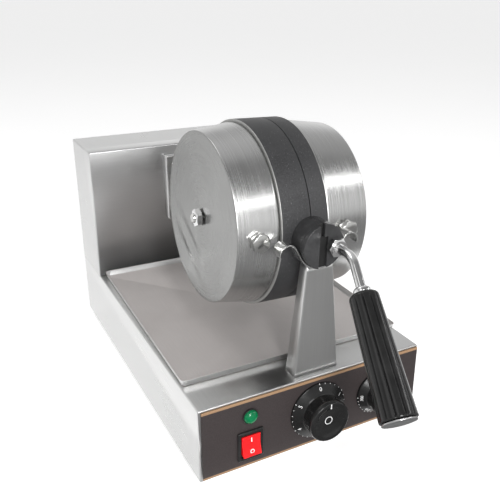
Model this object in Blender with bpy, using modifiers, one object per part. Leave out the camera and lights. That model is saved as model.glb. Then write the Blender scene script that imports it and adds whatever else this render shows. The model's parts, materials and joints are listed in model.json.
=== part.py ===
"""Rotating waffle cone maker for a counter top.

A stainless base box carries the controls in front, a full-width tower behind and a tapered upright.
The round iron turns between a cradle on the upright and a bearing in the tower, and its upper half
opens on a hinge at the rear.  The iron is modelled half way through its turn, with its plates upright.

Sizes are in millimetres and M turns them into metres.  X is to the right, Y to the rear, Z up, and the
origin is on the counter under the middle of the whole object.
"""

import math

import bmesh
import bpy
from mathutils import Matrix, Vector

M = 0.001
GAP = 0.3  # between pieces that touch
SHEET = 1.5  # stainless sheet

# Where the front panel's face and the base's lower edge lie in the object's frame.
FRONT = -138.5
FOOT_H = 9.0

# Base box and tower.
BASE_W, BASE_D, BASE_H = 260.0, 417.0, 81.0
TOWER_D, TOWER_H = 83.0, 168.0
BASE_TOP = FOOT_H + BASE_H
TOWER_FRONT = FRONT + BASE_D - TOWER_D
TOWER_TOP = BASE_TOP + TOWER_H
FOOT_X, FOOT_BACKS = 98.0, (32.0, 385.0)  # of the feet, from the middle and from the panel's face
GLAND = (80.0, 40.0)  # the cable's way out: X, and Z above the base's lower edge

# Iron: it turns about a line along Y through AXIS_X, AXIS_Z.  Its own axes start at its middle, with
# local X square to the seam between the plates.
AXIS_X, AXIS_Z = 3.0, FOOT_H + 220.5
IRON_Y = FRONT + 122.5
IRON_TILT = 2.0  # degrees past upright
PLATE_R, COVER_R = 98.0, 88.0
LOWER_BACK, UPPER_BACK = -32.5, 19.8  # outer faces of the two plates, from the seam
LOWER_END, UPPER_END = -74.4, 72.1  # outer faces of the two covers
SEAM = 0.4  # half the gap between the plates' rims
STUD_R = 5.0
BOLT_Z, BOLT_SEAT_Y = 3.0, -95.5
LOWER_BOLT_X, UPPER_BOLT_X = -54.5, 44.0

# Hub, split like the iron.
HUB_R = 22.4
HUB_FRONT = -123.0
JOURNAL_FRONT = -116.8
SEAT_FRONT, SEAT_REAR = -121.0, -118.0
QUARTER_Z = 9.5

# Hinge at the rear of the plates, and the turning shaft behind it.
HINGE_Y = 107.5
PIN_R = 3.0
SHAFT_R = 8.0
WEB_FRONT, WEB_REAR = 116.5, 122.5
ARM_Z = (14.5, 19.5)  # where each arm of the yoke starts and ends, above and below the middle
SHAFT_HOLE_R = 12.5  # through the tower's front wall and the bracket on it

# Upright and cradle.
UPRIGHT_FOOT = (51.0, 6.4, 25.1)  # width, front and rear distance from the panel's face
UPRIGHT_HEAD = (29.5, 6.4, 18.5)  # the same, at HEAD_Z
HEAD_Z = AXIS_Z - 19.5
CRADLE_FRONT, CRADLE_REAR = FRONT + 6.0, FRONT + 20.5
CRADLE_R, CRADLE_T = 22.9, 1.5
CUP_START = 199.0  # degrees; the cup ends as far round on the other side
WING_R, WING_AT, WING_ARC = 7.6, (33.5, -2.1), (-18.0, 150.0)  # the right wing's arch
STRIP_RELIEF_X, STRIP_RELIEF = 24.4, 2.5  # the right wing starts this far out and stands this far back
SCREW_X, SCREW_BACK, SCREW_HOLE_R = 12.0, 17.0, 2.8  # the upright's two screws

# Handle, on the iron's own axes.
NUT_SEAT = (11.8, SEAT_FRONT, -0.8)
ROD_R = 4.75
ROD_DOWN = (-0.135, -0.730, -0.669)
ROD_ELBOW = 30.0  # from the nut's seat to the bend's corner
ROD_LEG = 36.3  # from the corner to the grip
GRIP_L = 113.5
GRIP_TOP_R, GRIP_END_R = 13.75, 17.1

# Controls: X across the panel, Z above the base's lower edge.
LAMP = (-76.5, 59.7)
SWITCH = (-76.5, 26.5)
TIMER = (1.0, 41.0)
THERMOSTAT = (75.0, 39.5)
ROCKER_REST = -8.0  # pressed at the top: the object is switched on
OVERLAY = 1.0
PANEL_FACE = FRONT - GAP - OVERLAY
PANEL_HOLES = ((*LAMP, 6.3), (*TIMER, 5.3), (*THERMOSTAT, 5.3))  # X, Z and radius
SWITCH_CUT = (12.0, 14.6)  # half the width and height of its opening

# Drip tray: the sizes of its floor, its lean-out and its middle.
TRAY_W, TRAY_D, TRAY_H, TRAY_T = 255.0, 286.0, 7.6, 0.9
TRAY_FLARE = 1.5
TRAY_AT = (2.3, 184.0)
TRAY_TURN = -1.0

PARTS = "waffle_cone_maker"
CUTTERS = "cutters"


# ---------------------------------------------------------------- scene and materials


def clear_scene():
    for obj in list(bpy.data.objects):
        bpy.data.objects.remove(obj, do_unlink=True)
    for name in (PARTS, CUTTERS):
        collection = bpy.data.collections.new(name)
        bpy.context.scene.collection.children.link(collection)


def material(name, colour, roughness, metallic=0.0):
    made = bpy.data.materials.get(name)
    if made is None:
        made = bpy.data.materials.new(name)
        made.use_nodes = True
        shader = made.node_tree.nodes["Principled BSDF"]
        shader.inputs["Base Color"].default_value = (*colour, 1.0)
        shader.inputs["Roughness"].default_value = roughness
        shader.inputs["Metallic"].default_value = metallic
    return made


def stainless():
    return material("stainless", (0.62, 0.62, 0.61), 0.32, 1.0)


def chrome():
    return material("chrome", (0.80, 0.80, 0.80), 0.10, 1.0)


def steel():
    return material("zinc_steel", (0.66, 0.66, 0.64), 0.35, 1.0)


def cast():
    return material("coated_cast_aluminium", (0.07, 0.07, 0.075), 0.55, 0.3)


def black():
    return material("black_phenolic", (0.02, 0.02, 0.02), 0.30)


def rubber():
    return material("rubber", (0.03, 0.03, 0.03), 0.80)


# ---------------------------------------------------------------- helpers


def link(obj, parent, collection=PARTS):
    bpy.data.collections[collection].objects.link(obj)
    obj.parent = parent
    return obj


def from_bmesh(name, bm, look, parent, at, turn=(0.0, 0.0, 0.0)):
    """An object whose mesh is in millimetres until here; at and turn place it under its parent."""
    bmesh.ops.scale(bm, vec=(M, M, M), verts=bm.verts)
    mesh = bpy.data.meshes.new(name)
    bm.to_mesh(mesh)
    bm.free()
    obj = bpy.data.objects.new(name, mesh)
    mesh.materials.append(look)
    obj.location = Vector(at) * M
    obj.rotation_euler = turn
    return link(obj, parent)


def empty(name, parent, at, turn=(0.0, 0.0, 0.0)):
    obj = bpy.data.objects.new(name, None)
    obj.empty_display_size = 0.02
    obj.location = Vector(at) * M
    obj.rotation_euler = turn
    return link(obj, parent)


def box(name, low, high, look, parent=None):
    """A box between two corners, with its origin at its middle."""
    low, high = Vector(low), Vector(high)
    bm = bmesh.new()
    bmesh.ops.create_cube(bm, size=1.0)
    bmesh.ops.scale(bm, vec=high - low, verts=bm.verts)
    return from_bmesh(name, bm, look, parent, (low + high) / 2)


def chamfered(obj, width):
    mod = obj.modifiers.new("edges", "BEVEL")
    mod.width = width * M
    mod.segments = 1
    mod.limit_method = "ANGLE"
    mod.angle_limit = math.radians(40)


def aim(direction):
    """The rotation that turns +Z to a direction."""
    return Vector(direction).to_track_quat("Z", "Y").to_euler()


def rod(name, start, direction, length, radius, look, parent=None, sides=24):
    """A cylinder or prism whose foot is at start."""
    bm = bmesh.new()
    bmesh.ops.create_cone(
        bm, cap_ends=True, segments=sides, radius1=radius, radius2=radius, depth=length
    )
    bmesh.ops.translate(bm, verts=bm.verts, vec=(0, 0, length / 2))
    obj = from_bmesh(name, bm, look, parent, start, aim(direction))
    if sides > 8:
        obj.data.shade_smooth()
        obj.data.set_sharp_from_angle(angle=math.radians(35))
    return obj


def turned(name, profile, start, direction, look, parent=None, steps=32):
    """A turned piece.  profile is (radius, height) points, running down the outer side.

    A profile that starts and ends on the axis is left open there; any other is closed to a ring.
    """
    mesh = bpy.data.meshes.new(name)
    points = [(r * M, 0.0, h * M) for r, h in profile]
    edges = [(i, i + 1) for i in range(len(points) - 1)]
    if profile[0][0] > 0:
        edges.append((len(points) - 1, 0))
    mesh.from_pydata(points, edges, [])
    mesh.materials.append(look)
    obj = bpy.data.objects.new(name, mesh)
    obj.location = Vector(start) * M
    obj.rotation_euler = aim(direction)
    link(obj, parent)
    mod = obj.modifiers.new("turn", "SCREW")
    mod.angle = math.radians(360)
    mod.steps = steps
    mod.render_steps = steps
    mod.use_merge_vertices = True
    mod.merge_threshold = 0.00001
    mod.use_smooth_shade = True
    return obj


def plate(name, outline, thickness, frame, look, parent=None):
    """A flat outline, extruded; frame places its plane under the parent, and it grows both ways."""
    curve = bpy.data.curves.new(name, "CURVE")
    curve.dimensions = "2D"
    curve.fill_mode = "BOTH"
    curve.extrude = thickness / 2 * M
    spline = curve.splines.new("POLY")
    spline.points.add(len(outline) - 1)
    for point, (u, v) in zip(spline.points, outline):
        point.co = (u * M, v * M, 0.0, 1.0)
    spline.use_cyclic_u = True
    obj = bpy.data.objects.new(name + "_outline", curve)
    place = frame.copy()
    place.translation = place.translation * M
    obj.matrix_local = place
    link(obj, parent)
    return as_mesh(obj, name, look, parent, place)


def as_mesh(curve_obj, name, look, parent, place):
    """A curve object made a closed mesh, so that it can be cut and joined."""
    bpy.context.view_layer.update()
    evaluated = curve_obj.evaluated_get(bpy.context.evaluated_depsgraph_get())
    mesh = bpy.data.meshes.new_from_object(evaluated)
    bm = bmesh.new()
    bm.from_mesh(mesh)
    bmesh.ops.remove_doubles(bm, verts=bm.verts, dist=0.000001)
    bmesh.ops.recalc_face_normals(bm, faces=bm.faces)
    bm.to_mesh(mesh)
    bm.free()
    bpy.data.objects.remove(curve_obj, do_unlink=True)
    mesh.name = name
    mesh.materials.clear()
    mesh.materials.append(look)
    obj = bpy.data.objects.new(name, mesh)
    obj.matrix_local = place
    return link(obj, parent)


def boolean(obj, tool, operation):
    """Cuts or joins tool into obj, and moves tool out of the parts."""
    mod = obj.modifiers.new(operation.lower(), "BOOLEAN")
    mod.operation = operation
    mod.object = tool
    tool.hide_render = True
    tool.display_type = "WIRE"
    for collection in list(tool.users_collection):
        collection.objects.unlink(tool)
    bpy.data.collections[CUTTERS].objects.link(tool)
    return obj


def cut(obj, *tools):
    for tool in tools:
        boolean(obj, tool, "DIFFERENCE")
    return obj


def join(obj, *tools):
    for tool in tools:
        boolean(obj, tool, "UNION")
    return obj


def hole(obj, at, direction, radius, length, sides=20):
    """A drilled hole centred on a point."""
    start = Vector(at) - Vector(direction).normalized() * length / 2
    tool = rod(obj.name + "_hole", start, direction, length, radius, steel(), obj.parent, sides)
    return cut(obj, tool)


def hex_nut(name, start, direction, across, thick, bore, parent=None):
    """A chamfered hexagon nut; start is its seat."""
    obj = rod(name, start, direction, thick, across / math.sqrt(3), steel(), parent, sides=6)
    middle = Vector(start) + Vector(direction).normalized() * thick / 2
    chamfered(obj, 0.6)
    return hole(obj, middle, direction, bore, thick * 3, sides=16)


def hex_bolt(name, start, direction, across, head, shank_r, shank, look, parent=None):
    """A bolt whose head's bearing face is at start and whose shank runs along direction."""
    direction = Vector(direction).normalized()
    obj = rod(name, start, -direction, head, across / math.sqrt(3), look, parent, sides=6)
    stem = Vector(start) - direction * head / 2
    return join(
        obj, rod(name + "_shank", stem, direction, head / 2 + shank, shank_r, look, parent, 16)
    )


# ---------------------------------------------------------------- base, feet and tower


def base_shell():
    left, right = -BASE_W / 2, BASE_W / 2
    rear = FRONT + BASE_D
    shell = box("base_shell", (left, FRONT, FOOT_H), (right, rear, BASE_TOP), stainless())
    inside = box(
        "base_inside",
        (left + SHEET, FRONT + SHEET, FOOT_H - 5),
        (right - SHEET, rear - SHEET, BASE_TOP - SHEET),
        stainless(),
    )
    cut(shell, inside)
    control_openings(shell)
    for side in (-1, 1):
        at = (AXIS_X + side * SCREW_X, FRONT + SCREW_BACK, BASE_TOP)
        hole(shell, at, (0, 0, 1), SCREW_HOLE_R, 20)
    wires_back, wires_r, gland_r = 30, 10, 8.3
    hole(shell, (0, rear - wires_back, BASE_TOP), (0, 0, 1), wires_r, 20)
    hole(shell, (GLAND[0], rear, FOOT_H + GLAND[1]), (0, 1, 0), gland_r, 20)


def control_openings(wall):
    """Cuts the holes for the lamp, the knobs and the switch through the front wall or its overlay."""
    deep = 10
    for x, z, radius in PANEL_HOLES:
        hole(wall, (x, FRONT, FOOT_H + z), (0, 1, 0), radius, deep)
    half_x, half_z = SWITCH_CUT
    x, z = SWITCH[0], FOOT_H + SWITCH[1]
    low = (x - half_x, FRONT - deep / 2, z - half_z)
    high = (x + half_x, FRONT + deep / 2, z + half_z)
    cut(wall, box(wall.name + "_switch_opening", low, high, stainless()))


def bottom_plate():
    edge = BASE_W / 2 - SHEET - GAP
    made = box(
        "bottom_plate",
        (-edge, FRONT + SHEET + GAP, FOOT_H),
        (edge, FRONT + BASE_D - SHEET - GAP, FOOT_H + SHEET),
        stainless(),
    )
    half_wide, vent_front, vent_rear = 3, FRONT + 230, FRONT + 330
    for x in (-60, -20, 20, 60):
        low, high = (x - half_wide, vent_front, 0), (x + half_wide, vent_rear, 20)
        cut(made, box(f"bottom_vent_{x}", low, high, stainless()))


def feet():
    top_r, sole_r = 13.0, 11.5
    profile = [(0, FOOT_H - GAP), (top_r, FOOT_H - GAP), (top_r, FOOT_H - 3), (sole_r, 0), (0, 0)]
    for row, back in zip(("front", "rear"), FOOT_BACKS):
        for side, x in (("left", -FOOT_X), ("right", FOOT_X)):
            at = (x, FRONT + back, 0)
            turned(f"foot_{row}_{side}", profile, at, (0, 0, 1), rubber(), steps=20)


def tower():
    left, right = -BASE_W / 2, BASE_W / 2
    rear = FRONT + BASE_D
    low = BASE_TOP + GAP
    shell = box("tower_shell", (left, TOWER_FRONT, low), (right, rear, TOWER_TOP), stainless())
    inside = box(
        "tower_inside",
        (left + SHEET, TOWER_FRONT + SHEET, low - 5),
        (right - SHEET, rear + 5, TOWER_TOP - SHEET),
        stainless(),
    )
    cut(shell, inside)
    hole(shell, (AXIS_X, TOWER_FRONT, AXIS_Z), (0, 1, 0), SHAFT_HOLE_R, 20, sides=32)
    back = box(
        "tower_back_plate",
        (left + SHEET + GAP, rear - SHEET, low),
        (right - SHEET - GAP, rear, TOWER_TOP - SHEET - GAP),
        stainless(),
    )
    slots_up, pitch, slot_h, half_wide = 110, 9, 3, 50
    for i in range(5):
        z = BASE_TOP + slots_up + i * pitch
        low, high = (-half_wide, rear - 10, z), (half_wide, rear + 10, z + slot_h)
        slot = box(f"back_slot_{i}", low, high, stainless())
        cut(back, slot)


def rear_bracket():
    """A shallow folded box round the place where the iron's shaft enters the tower, open to the front."""
    wide, high, low, deep = 37.5, 15.5, -70.5, 12.0
    rear = TOWER_FRONT - GAP
    made = box(
        "rear_bracket",
        (AXIS_X - wide, rear - deep, AXIS_Z + low),
        (AXIS_X + wide, rear, AXIS_Z + high),
        stainless(),
    )
    inside = box(
        "rear_bracket_inside",
        (AXIS_X - wide + SHEET, rear - deep - 5, AXIS_Z + low + SHEET),
        (AXIS_X + wide - SHEET, rear - SHEET, AXIS_Z + high - SHEET),
        stainless(),
    )
    cut(made, inside)
    hole(made, (AXIS_X, rear, AXIS_Z), (0, 1, 0), SHAFT_HOLE_R, 20, sides=32)


def bearing():
    """Flanged housing behind the tower's front wall, with a bronze bush for the shaft."""
    start = (AXIS_X, TOWER_FRONT + SHEET + GAP, AXIS_Z)
    turned(
        "bearing_housing",
        [(11.3, 16), (19, 16), (19, 4), (25, 4), (25, 0), (11.3, 0)],
        start,
        (0, 1, 0),
        steel(),
    )
    turned(
        "pivot_bush",
        [(SHAFT_R + 0.3, 19), (11, 19), (11, -4), (SHAFT_R + 0.3, -4)],
        start,
        (0, 1, 0),
        material("bronze", (0.55, 0.36, 0.17), 0.35, 1.0),
        steps=24,
    )


def wiring():
    rear = FRONT + BASE_D
    block = box(
        "terminal_block",
        (40, rear - 26, BASE_TOP + 12),
        (84, rear - 6, BASE_TOP + 30),
        material("terminal_plastic", (0.80, 0.80, 0.76), 0.5),
    )
    for i in range(4):
        hole(block, (46 + i * 10.5, rear - 16, BASE_TOP + 30), (0, 0, 1), 2.2, 16, sides=12)
    turned(
        "cable_gland",
        [(4.2, 22), (5.5, 22), (7.0, 18), (11, 15), (11, 10.3), (8, 10.3), (8, 0), (4.2, 0)],
        (GLAND[0], rear - 10, FOOT_H + GLAND[1]),
        (0, 1, 0),
        black(),
        steps=20,
    )


# ---------------------------------------------------------------- controls


def control_panel():
    made = box(
        "control_panel",
        (-BASE_W / 2 + 3, PANEL_FACE, FOOT_H + 1.2),
        (BASE_W / 2 - 1, FRONT - GAP, BASE_TOP - 2.2),
        material("panel_overlay", (0.035, 0.028, 0.026), 0.45),
    )
    control_openings(made)


def pilot_lamp():
    x, z = LAMP
    face = PANEL_FACE - GAP
    turned(
        "pilot_lamp_lens",
        [(0, 6.2), (3.5, 5.8), (6.5, 4.0), (8.2, 1.2), (8.2, 0), (0, 0)],
        (x, face, FOOT_H + z),
        (0, -1, 0),
        material("green_lens", (0.0, 0.35, 0.12), 0.1),
        steps=24,
    )
    rod(
        "pilot_lamp_body",
        (x, face + GAP, FOOT_H + z),
        (0, 1, 0),
        24,
        6.0,
        material("lamp_plastic", (0.85, 0.85, 0.82), 0.5),
    )


def switch():
    """A rocker switch: a bezel with its box behind the panel, and the rocker on its pivot."""
    x, z = SWITCH[0], FOOT_H + SWITCH[1]
    face = PANEL_FACE

    def block(name, half_x, half_z, front, rear):
        return box(name, (x - half_x, front, z - half_z), (x + half_x, rear, z + half_z), black())

    housing = block("switch_housing", 13.8, 16.5, face - 2.6, face - GAP)
    join(housing, block("switch_body", 11.6, 14.2, face - 1.5, FRONT + 22))
    cut(housing, block("switch_pocket", 10.5, 13.1, face - 12, FRONT + 14))
    pivot_y = face + 3.0
    pivot = empty("switch_pivot", None, (x, pivot_y, z))
    # Side view of the rocker, as (Y, Z) from the pivot: two front faces meeting in a shallow valley,
    # and a round belly that turns inside the pocket.
    half, nose, valley, belly = 11.6, -8.2, -6.4, 8.0
    outline = [(nose, -half), (valley, 0.0), (nose, half)]
    for step in range(7):
        turn = math.radians(60 - step * 20)
        outline.append((math.cos(turn) * belly, math.sin(turn) * belly))
    # The plane (Y, Z) is drawn on the outline's own (U, V), with its normal along X.
    frame_yz = Matrix(((0, 0, 1), (1, 0, 0), (0, 1, 0))).to_4x4()
    frame_yz = Matrix.Rotation(math.radians(ROCKER_REST), 4, "X") @ frame_yz
    plate(
        "switch_rocker", outline, 20.0, frame_yz, material("red_rocker", (0.75, 0.01, 0.01), 0.2), pivot
    )


def knob(name, where, skirt, cap):
    """A knob with a wide conical skirt and a dished face, on its shaft."""
    x, z = where
    pivot = empty(name + "_axis", None, (x, PANEL_FACE, FOOT_H + z))
    turned(
        name + "_knob",
        [
            (0, 22.4),
            (cap * 0.4, 22.8),
            (cap * 0.7, 24.2),
            (cap * 0.85, 25.6),
            (cap - 1.2, 25.6),
            (cap, 24.4),
            (cap, 8.0),
            (cap + 1.0, 6.6),
            (skirt - 0.5, 2.4),
            (skirt, 1.2),
            (skirt, 0.3),
            (3.4, 0.3),
            (3.4, 14.0),
            (0, 14.0),
        ],
        (0, 0, 0),
        (0, -1, 0),
        black(),
        pivot,
        steps=40,
    )
    rod(name + "_shaft", (0, -13.5, 0), (0, 1, 0), 24, 3.0, steel(), pivot, sides=16)


def regulators():
    """The clockwork timer and the capillary thermostat behind the front wall."""
    for name, (x, z), size, depth in (("timer", TIMER, 22.0, 28.0), ("thermostat", THERMOSTAT, 19.0, 24.0)):
        wall = FRONT + SHEET + GAP
        body = box(
            name + "_body",
            (x - size, wall, FOOT_H + z - size),
            (x + size, wall + depth, FOOT_H + z + size),
            material("regulator_metal", (0.55, 0.56, 0.55), 0.4, 1.0),
        )
        at = (x, FRONT - 0.9, FOOT_H + z)
        neck = rod(name + "_neck", at, (0, 1, 0), 10, 5.0, steel(), sides=20)
        join(body, neck)
        hole(body, (x, FRONT, FOOT_H + z), (0, 1, 0), 3.3, 28, sides=16)


# ---------------------------------------------------------------- upright and cradle


def upright():
    """A tapered channel, open to the rear, that leans a little to the front."""
    foot_w, foot_front, foot_rear = UPRIGHT_FOOT
    head_w, head_front, head_rear = UPRIGHT_HEAD
    bottom, top = BASE_TOP + GAP, AXIS_Z - 8

    def prism(name, inset, forward, back, low, high):
        """The pillar's outer shape, or the space inside it."""
        bm = bmesh.new()
        bmesh.ops.create_cube(bm, size=1.0)
        for vert in bm.verts:
            up, side, rear = vert.co.z > 0, math.copysign(1, vert.co.x), vert.co.y > 0
            z = high if up else low
            share = (z - bottom) / (HEAD_Z - bottom)
            wide = foot_w + (head_w - foot_w) * share - 2 * inset
            front = foot_front + (head_front - foot_front) * share + forward
            deep = foot_rear + (head_rear - foot_rear) * share + back
            vert.co = (AXIS_X + side * wide / 2, FRONT + (deep if rear else front), z)
        return from_bmesh(name, bm, stainless(), None, (0, 0, 0))

    made = prism("upright", 0, 0, 0, bottom, top)
    cut(made, prism("upright_inside", SHEET, SHEET, 20, bottom + 2.0, top + 20))
    cradle = rod(
        "upright_saddle",
        (AXIS_X, FRONT - 20, AXIS_Z),
        (0, 1, 0),
        70,
        CRADLE_R + CRADLE_T + GAP,
        steel(),
        None,
        48,
    )
    cut(made, cradle)
    for side, where in ((-1, "left"), (1, "right")):
        x, y = AXIS_X + side * SCREW_X, FRONT + SCREW_BACK
        hole(made, (x, y, bottom), (0, 0, 1), SCREW_HOLE_R, 20, sides=12)
        seat = (x, y, BASE_TOP - SHEET - GAP)
        hex_bolt("upright_screw_" + where, seat, (0, 0, 1), 8.0, 3.5, 2.4, 8.0, steel())


def arc(centre, radius, start, end, steps):
    """Points on a circle, from one angle to another in degrees."""
    turns = [math.radians(start + (end - start) * i / steps) for i in range(steps + 1)]
    return [(centre[0] + radius * math.cos(t), centre[1] + radius * math.sin(t)) for t in turns]


def offset_line(points, distance):
    """The line at a distance to the right of a line's direction of travel."""
    made = []
    for i, (x, z) in enumerate(points):
        before = Vector(points[max(i - 1, 0)])
        after = Vector(points[min(i + 1, len(points) - 1)])
        here = Vector((x, z))
        ways = [(b - a).normalized() for a, b in ((before, here), (here, after)) if (b - a).length > 0]
        mean = sum(ways, Vector((0, 0))).normalized()
        stretch = distance / mean.dot(ways[0])
        made.append((x + mean.y * stretch, z - mean.x * stretch))
    return made


def cradle_strip():
    """A spring-steel strip: a cup under the hub and an arched wing on each side."""
    wing = arc(WING_AT, WING_R, *WING_ARC, 7)
    cup = arc((0, 0), CRADLE_R, CUP_START, 540 - CUP_START, 20)
    top = [(-x, z) for x, z in wing] + cup + list(reversed(wing))
    outline = top + list(reversed(offset_line(top, CRADLE_T)))
    # Drawn on (X, Z), with the strip's width along Y.
    frame_xz = Matrix(((1, 0, 0), (0, 0, -1), (0, 1, 0))).to_4x4()
    frame_xz.translation = (AXIS_X, (CRADLE_FRONT + CRADLE_REAR) / 2, AXIS_Z)
    strip = plate("cradle_strip", outline, CRADLE_REAR - CRADLE_FRONT, frame_xz, chrome())
    # The right wing is narrower, to let the handle's seat swing out past it.
    low = (AXIS_X + STRIP_RELIEF_X, CRADLE_FRONT - 5, AXIS_Z - 20)
    high = (AXIS_X + 60, CRADLE_FRONT + STRIP_RELIEF, AXIS_Z + 20)
    cut(strip, box("cradle_strip_relief", low, high, chrome()))


# ---------------------------------------------------------------- drip tray


def pan(name, foot, flare, low, high, look, parent=None):
    """A block with leaning sides: foot is its size below and flare how far each side leans out."""
    bm = bmesh.new()
    bmesh.ops.create_cube(bm, size=1.0)
    for vert in bm.verts:
        up = vert.co.z > 0
        grow = flare if up else 0.0
        x = math.copysign(foot[0] / 2 + grow, vert.co.x)
        y = math.copysign(foot[1] / 2 + grow, vert.co.y)
        vert.co = (x, y, high if up else low)
    return from_bmesh(name, bm, look, parent, (0, 0, 0))


def drip_tray():
    """A shallow loose pan, lying slightly askew between the upright and the tower."""
    low = BASE_TOP + GAP
    centre = (TRAY_AT[0], FRONT + TRAY_AT[1], low)
    turn = (0, 0, math.radians(TRAY_TURN))
    made = pan("drip_tray", (TRAY_W, TRAY_D), TRAY_FLARE, 0, TRAY_H, stainless())
    lean = TRAY_FLARE / TRAY_H
    foot = 2 * (lean * TRAY_T - TRAY_T)
    inside = pan(
        "drip_tray_inside",
        (TRAY_W + foot, TRAY_D + foot),
        lean * 10,
        TRAY_T,
        TRAY_T + 10,
        stainless(),
    )
    for piece in (made, inside):
        piece.location = Vector(centre) * M
        piece.rotation_euler = turn
    return cut(made, inside)


# ---------------------------------------------------------------- the iron


def iron_half(name, parent, offset, back, end, bolt_x):
    """One half: plate, cover, stud and nut, element, insulation, stop bolt and lock nut.

    offset moves from the iron's axes to the parent's; back and end are the outer faces of the plate
    and of the cover, counted away from the seam.
    """
    way = 1 if back > 0 else -1
    out = (way, 0, 0)
    back, end = abs(back), abs(end)
    centre = -Vector(offset)
    inner = 15.0  # the plate's thickness behind its recess, from the seam
    # Profiles count their height from the seam outwards.
    body = turned(
        name + "_plate",
        [
            (0, inner),
            (PLATE_R - 11.0, inner),
            (PLATE_R - 11.0, back),
            (PLATE_R - 1.0, back),
            (PLATE_R, back - 1.0),
            (PLATE_R, SEAM + 0.6),
            (PLATE_R - 0.6, SEAM),
            (PLATE_R - 8.0, SEAM),
            (PLATE_R - 9.5, SEAM + 1.8),
            (0, SEAM + 1.8),
        ],
        centre,
        out,
        cast(),
        parent,
        steps=64,
    )
    stud_hole = STUD_R + 0.4
    cover = turned(
        name + "_cover",
        [
            (stud_hole, end),
            (COVER_R - 1.5, end),
            (COVER_R, end - 1.5),
            (COVER_R, back + GAP),
            (COVER_R - 1.0, back + GAP),
            (COVER_R - 1.0, end - 1.0),
            (stud_hole, end - 1.0),
        ],
        centre,
        out,
        stainless(),
        parent,
        steps=64,
    )
    stud_at = centre + Vector((way * (inner + GAP), 0, 0))
    rod(name + "_cover_stud", stud_at, out, end + 8.5 - inner, STUD_R, steel(), parent, sides=20)
    nut_at = centre + Vector((way * (end + GAP), 0, 0))
    hex_nut(name + "_cover_nut", nut_at, out, 17.0, 6.5, STUD_R + 0.3, parent)
    element(name + "_heating_element", centre + Vector((way * (inner + GAP + 4.2), 0, 0)), parent)
    turned(
        name + "_insulation",
        [(6.0, 14.0), (83, 14.0), (83, 0), (6.0, 0)],
        centre + Vector((way * 24.6, 0, 0)),
        out,
        material("mineral_wool", (0.60, 0.55, 0.42), 0.95),
        parent,
        steps=32,
    )
    bolt_at = centre + Vector((bolt_x, BOLT_SEAT_Y, BOLT_Z))
    hex_bolt(name + "_stop_bolt", bolt_at, (0, 1, 0), 17.0, 5.0, 4.9, 11.0, steel(), parent)
    hex_nut(name + "_stop_nut", bolt_at + Vector((0, GAP, 0)), (0, 1, 0), 17.0, 6.5, 5.2, parent)
    wall = centre + Vector((bolt_x, -COVER_R, BOLT_Z))
    hole(cover, wall, (0, 1, 0), 5.3, 8, sides=20)
    return body


def element(name, centre, parent):
    """A tubular heating element bent to three quarters of a ring."""
    curve = bpy.data.curves.new(name, "CURVE")
    curve.dimensions = "3D"
    curve.bevel_depth = 4.0 * M
    curve.bevel_resolution = 2
    curve.use_fill_caps = True
    steps = 24
    spline = curve.splines.new("POLY")
    spline.points.add(steps)
    for i, point in enumerate(spline.points):
        turn = math.radians(-60 + 300 * i / steps)
        point.co = (0, 58 * math.sin(turn) * M, 58 * math.cos(turn) * M, 1)
    curve.materials.append(material("element_sheath", (0.25, 0.22, 0.20), 0.5, 1.0))
    obj = bpy.data.objects.new(name, curve)
    obj.location = Vector(centre) * M
    return link(obj, parent)


def hub_round(name, front, parent, centre):
    """The round hub from a front plane to the rims of the plates."""
    blank = rod(name, centre + Vector((0, front, 0)), (0, 1, 0), 40, HUB_R, black(), parent, sides=48)
    start = centre + Vector((-60, 0, 0))
    return cut(blank, rod(name + "_rims", start, (1, 0, 0), 120, PLATE_R + GAP, black(), parent, 128))


def hub_without(piece, low, high, parent, centre):
    """Cuts a box, given on the iron's own axes, from a piece of the hub."""
    name = f"{piece.name}_space_{len(piece.modifiers)}"
    return cut(piece, box(name, centre + Vector(low), centre + Vector(high), black(), parent))


def hubs(iron, lid, lid_offset):
    """The hub is split like the iron.

    The lower half's piece is the journal that turns in the cradle, three quarters of a circle behind
    the face.  The upper half's piece is the last quarter and, ahead of the cradle, the seat of the
    handle, so it can swing out sideways.
    """
    centre = Vector((0, 0, 0))
    lower = hub_round("lower_hub", HUB_FRONT, iron, centre)
    hub_without(lower, (-3.0, HUB_FRONT - 20, -40), (40, JOURNAL_FRONT, 40), iron, centre)
    hub_without(lower, (-0.2, HUB_FRONT - 20, QUARTER_Z - 0.5), (40, HUB_FRONT + 60, 40), iron, centre)
    centre = -Vector(lid_offset)
    upper = hub_round("upper_hub", SEAT_FRONT, lid, centre)
    hub_without(upper, (-40, SEAT_FRONT - 20, -40), (0.2, SEAT_FRONT + 60, 40), lid, centre)
    hub_without(upper, (-40, SEAT_FRONT - 20, -40), (3.0, SEAT_FRONT + 60, QUARTER_Z), lid, centre)
    hub_without(upper, (-40, SEAT_REAR, -40), (40, SEAT_FRONT + 60, QUARTER_Z), lid, centre)
    hole(upper, centre + Vector(NUT_SEAT), (0, 1, 0), ROD_R + 0.3, 20, sides=20)


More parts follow.
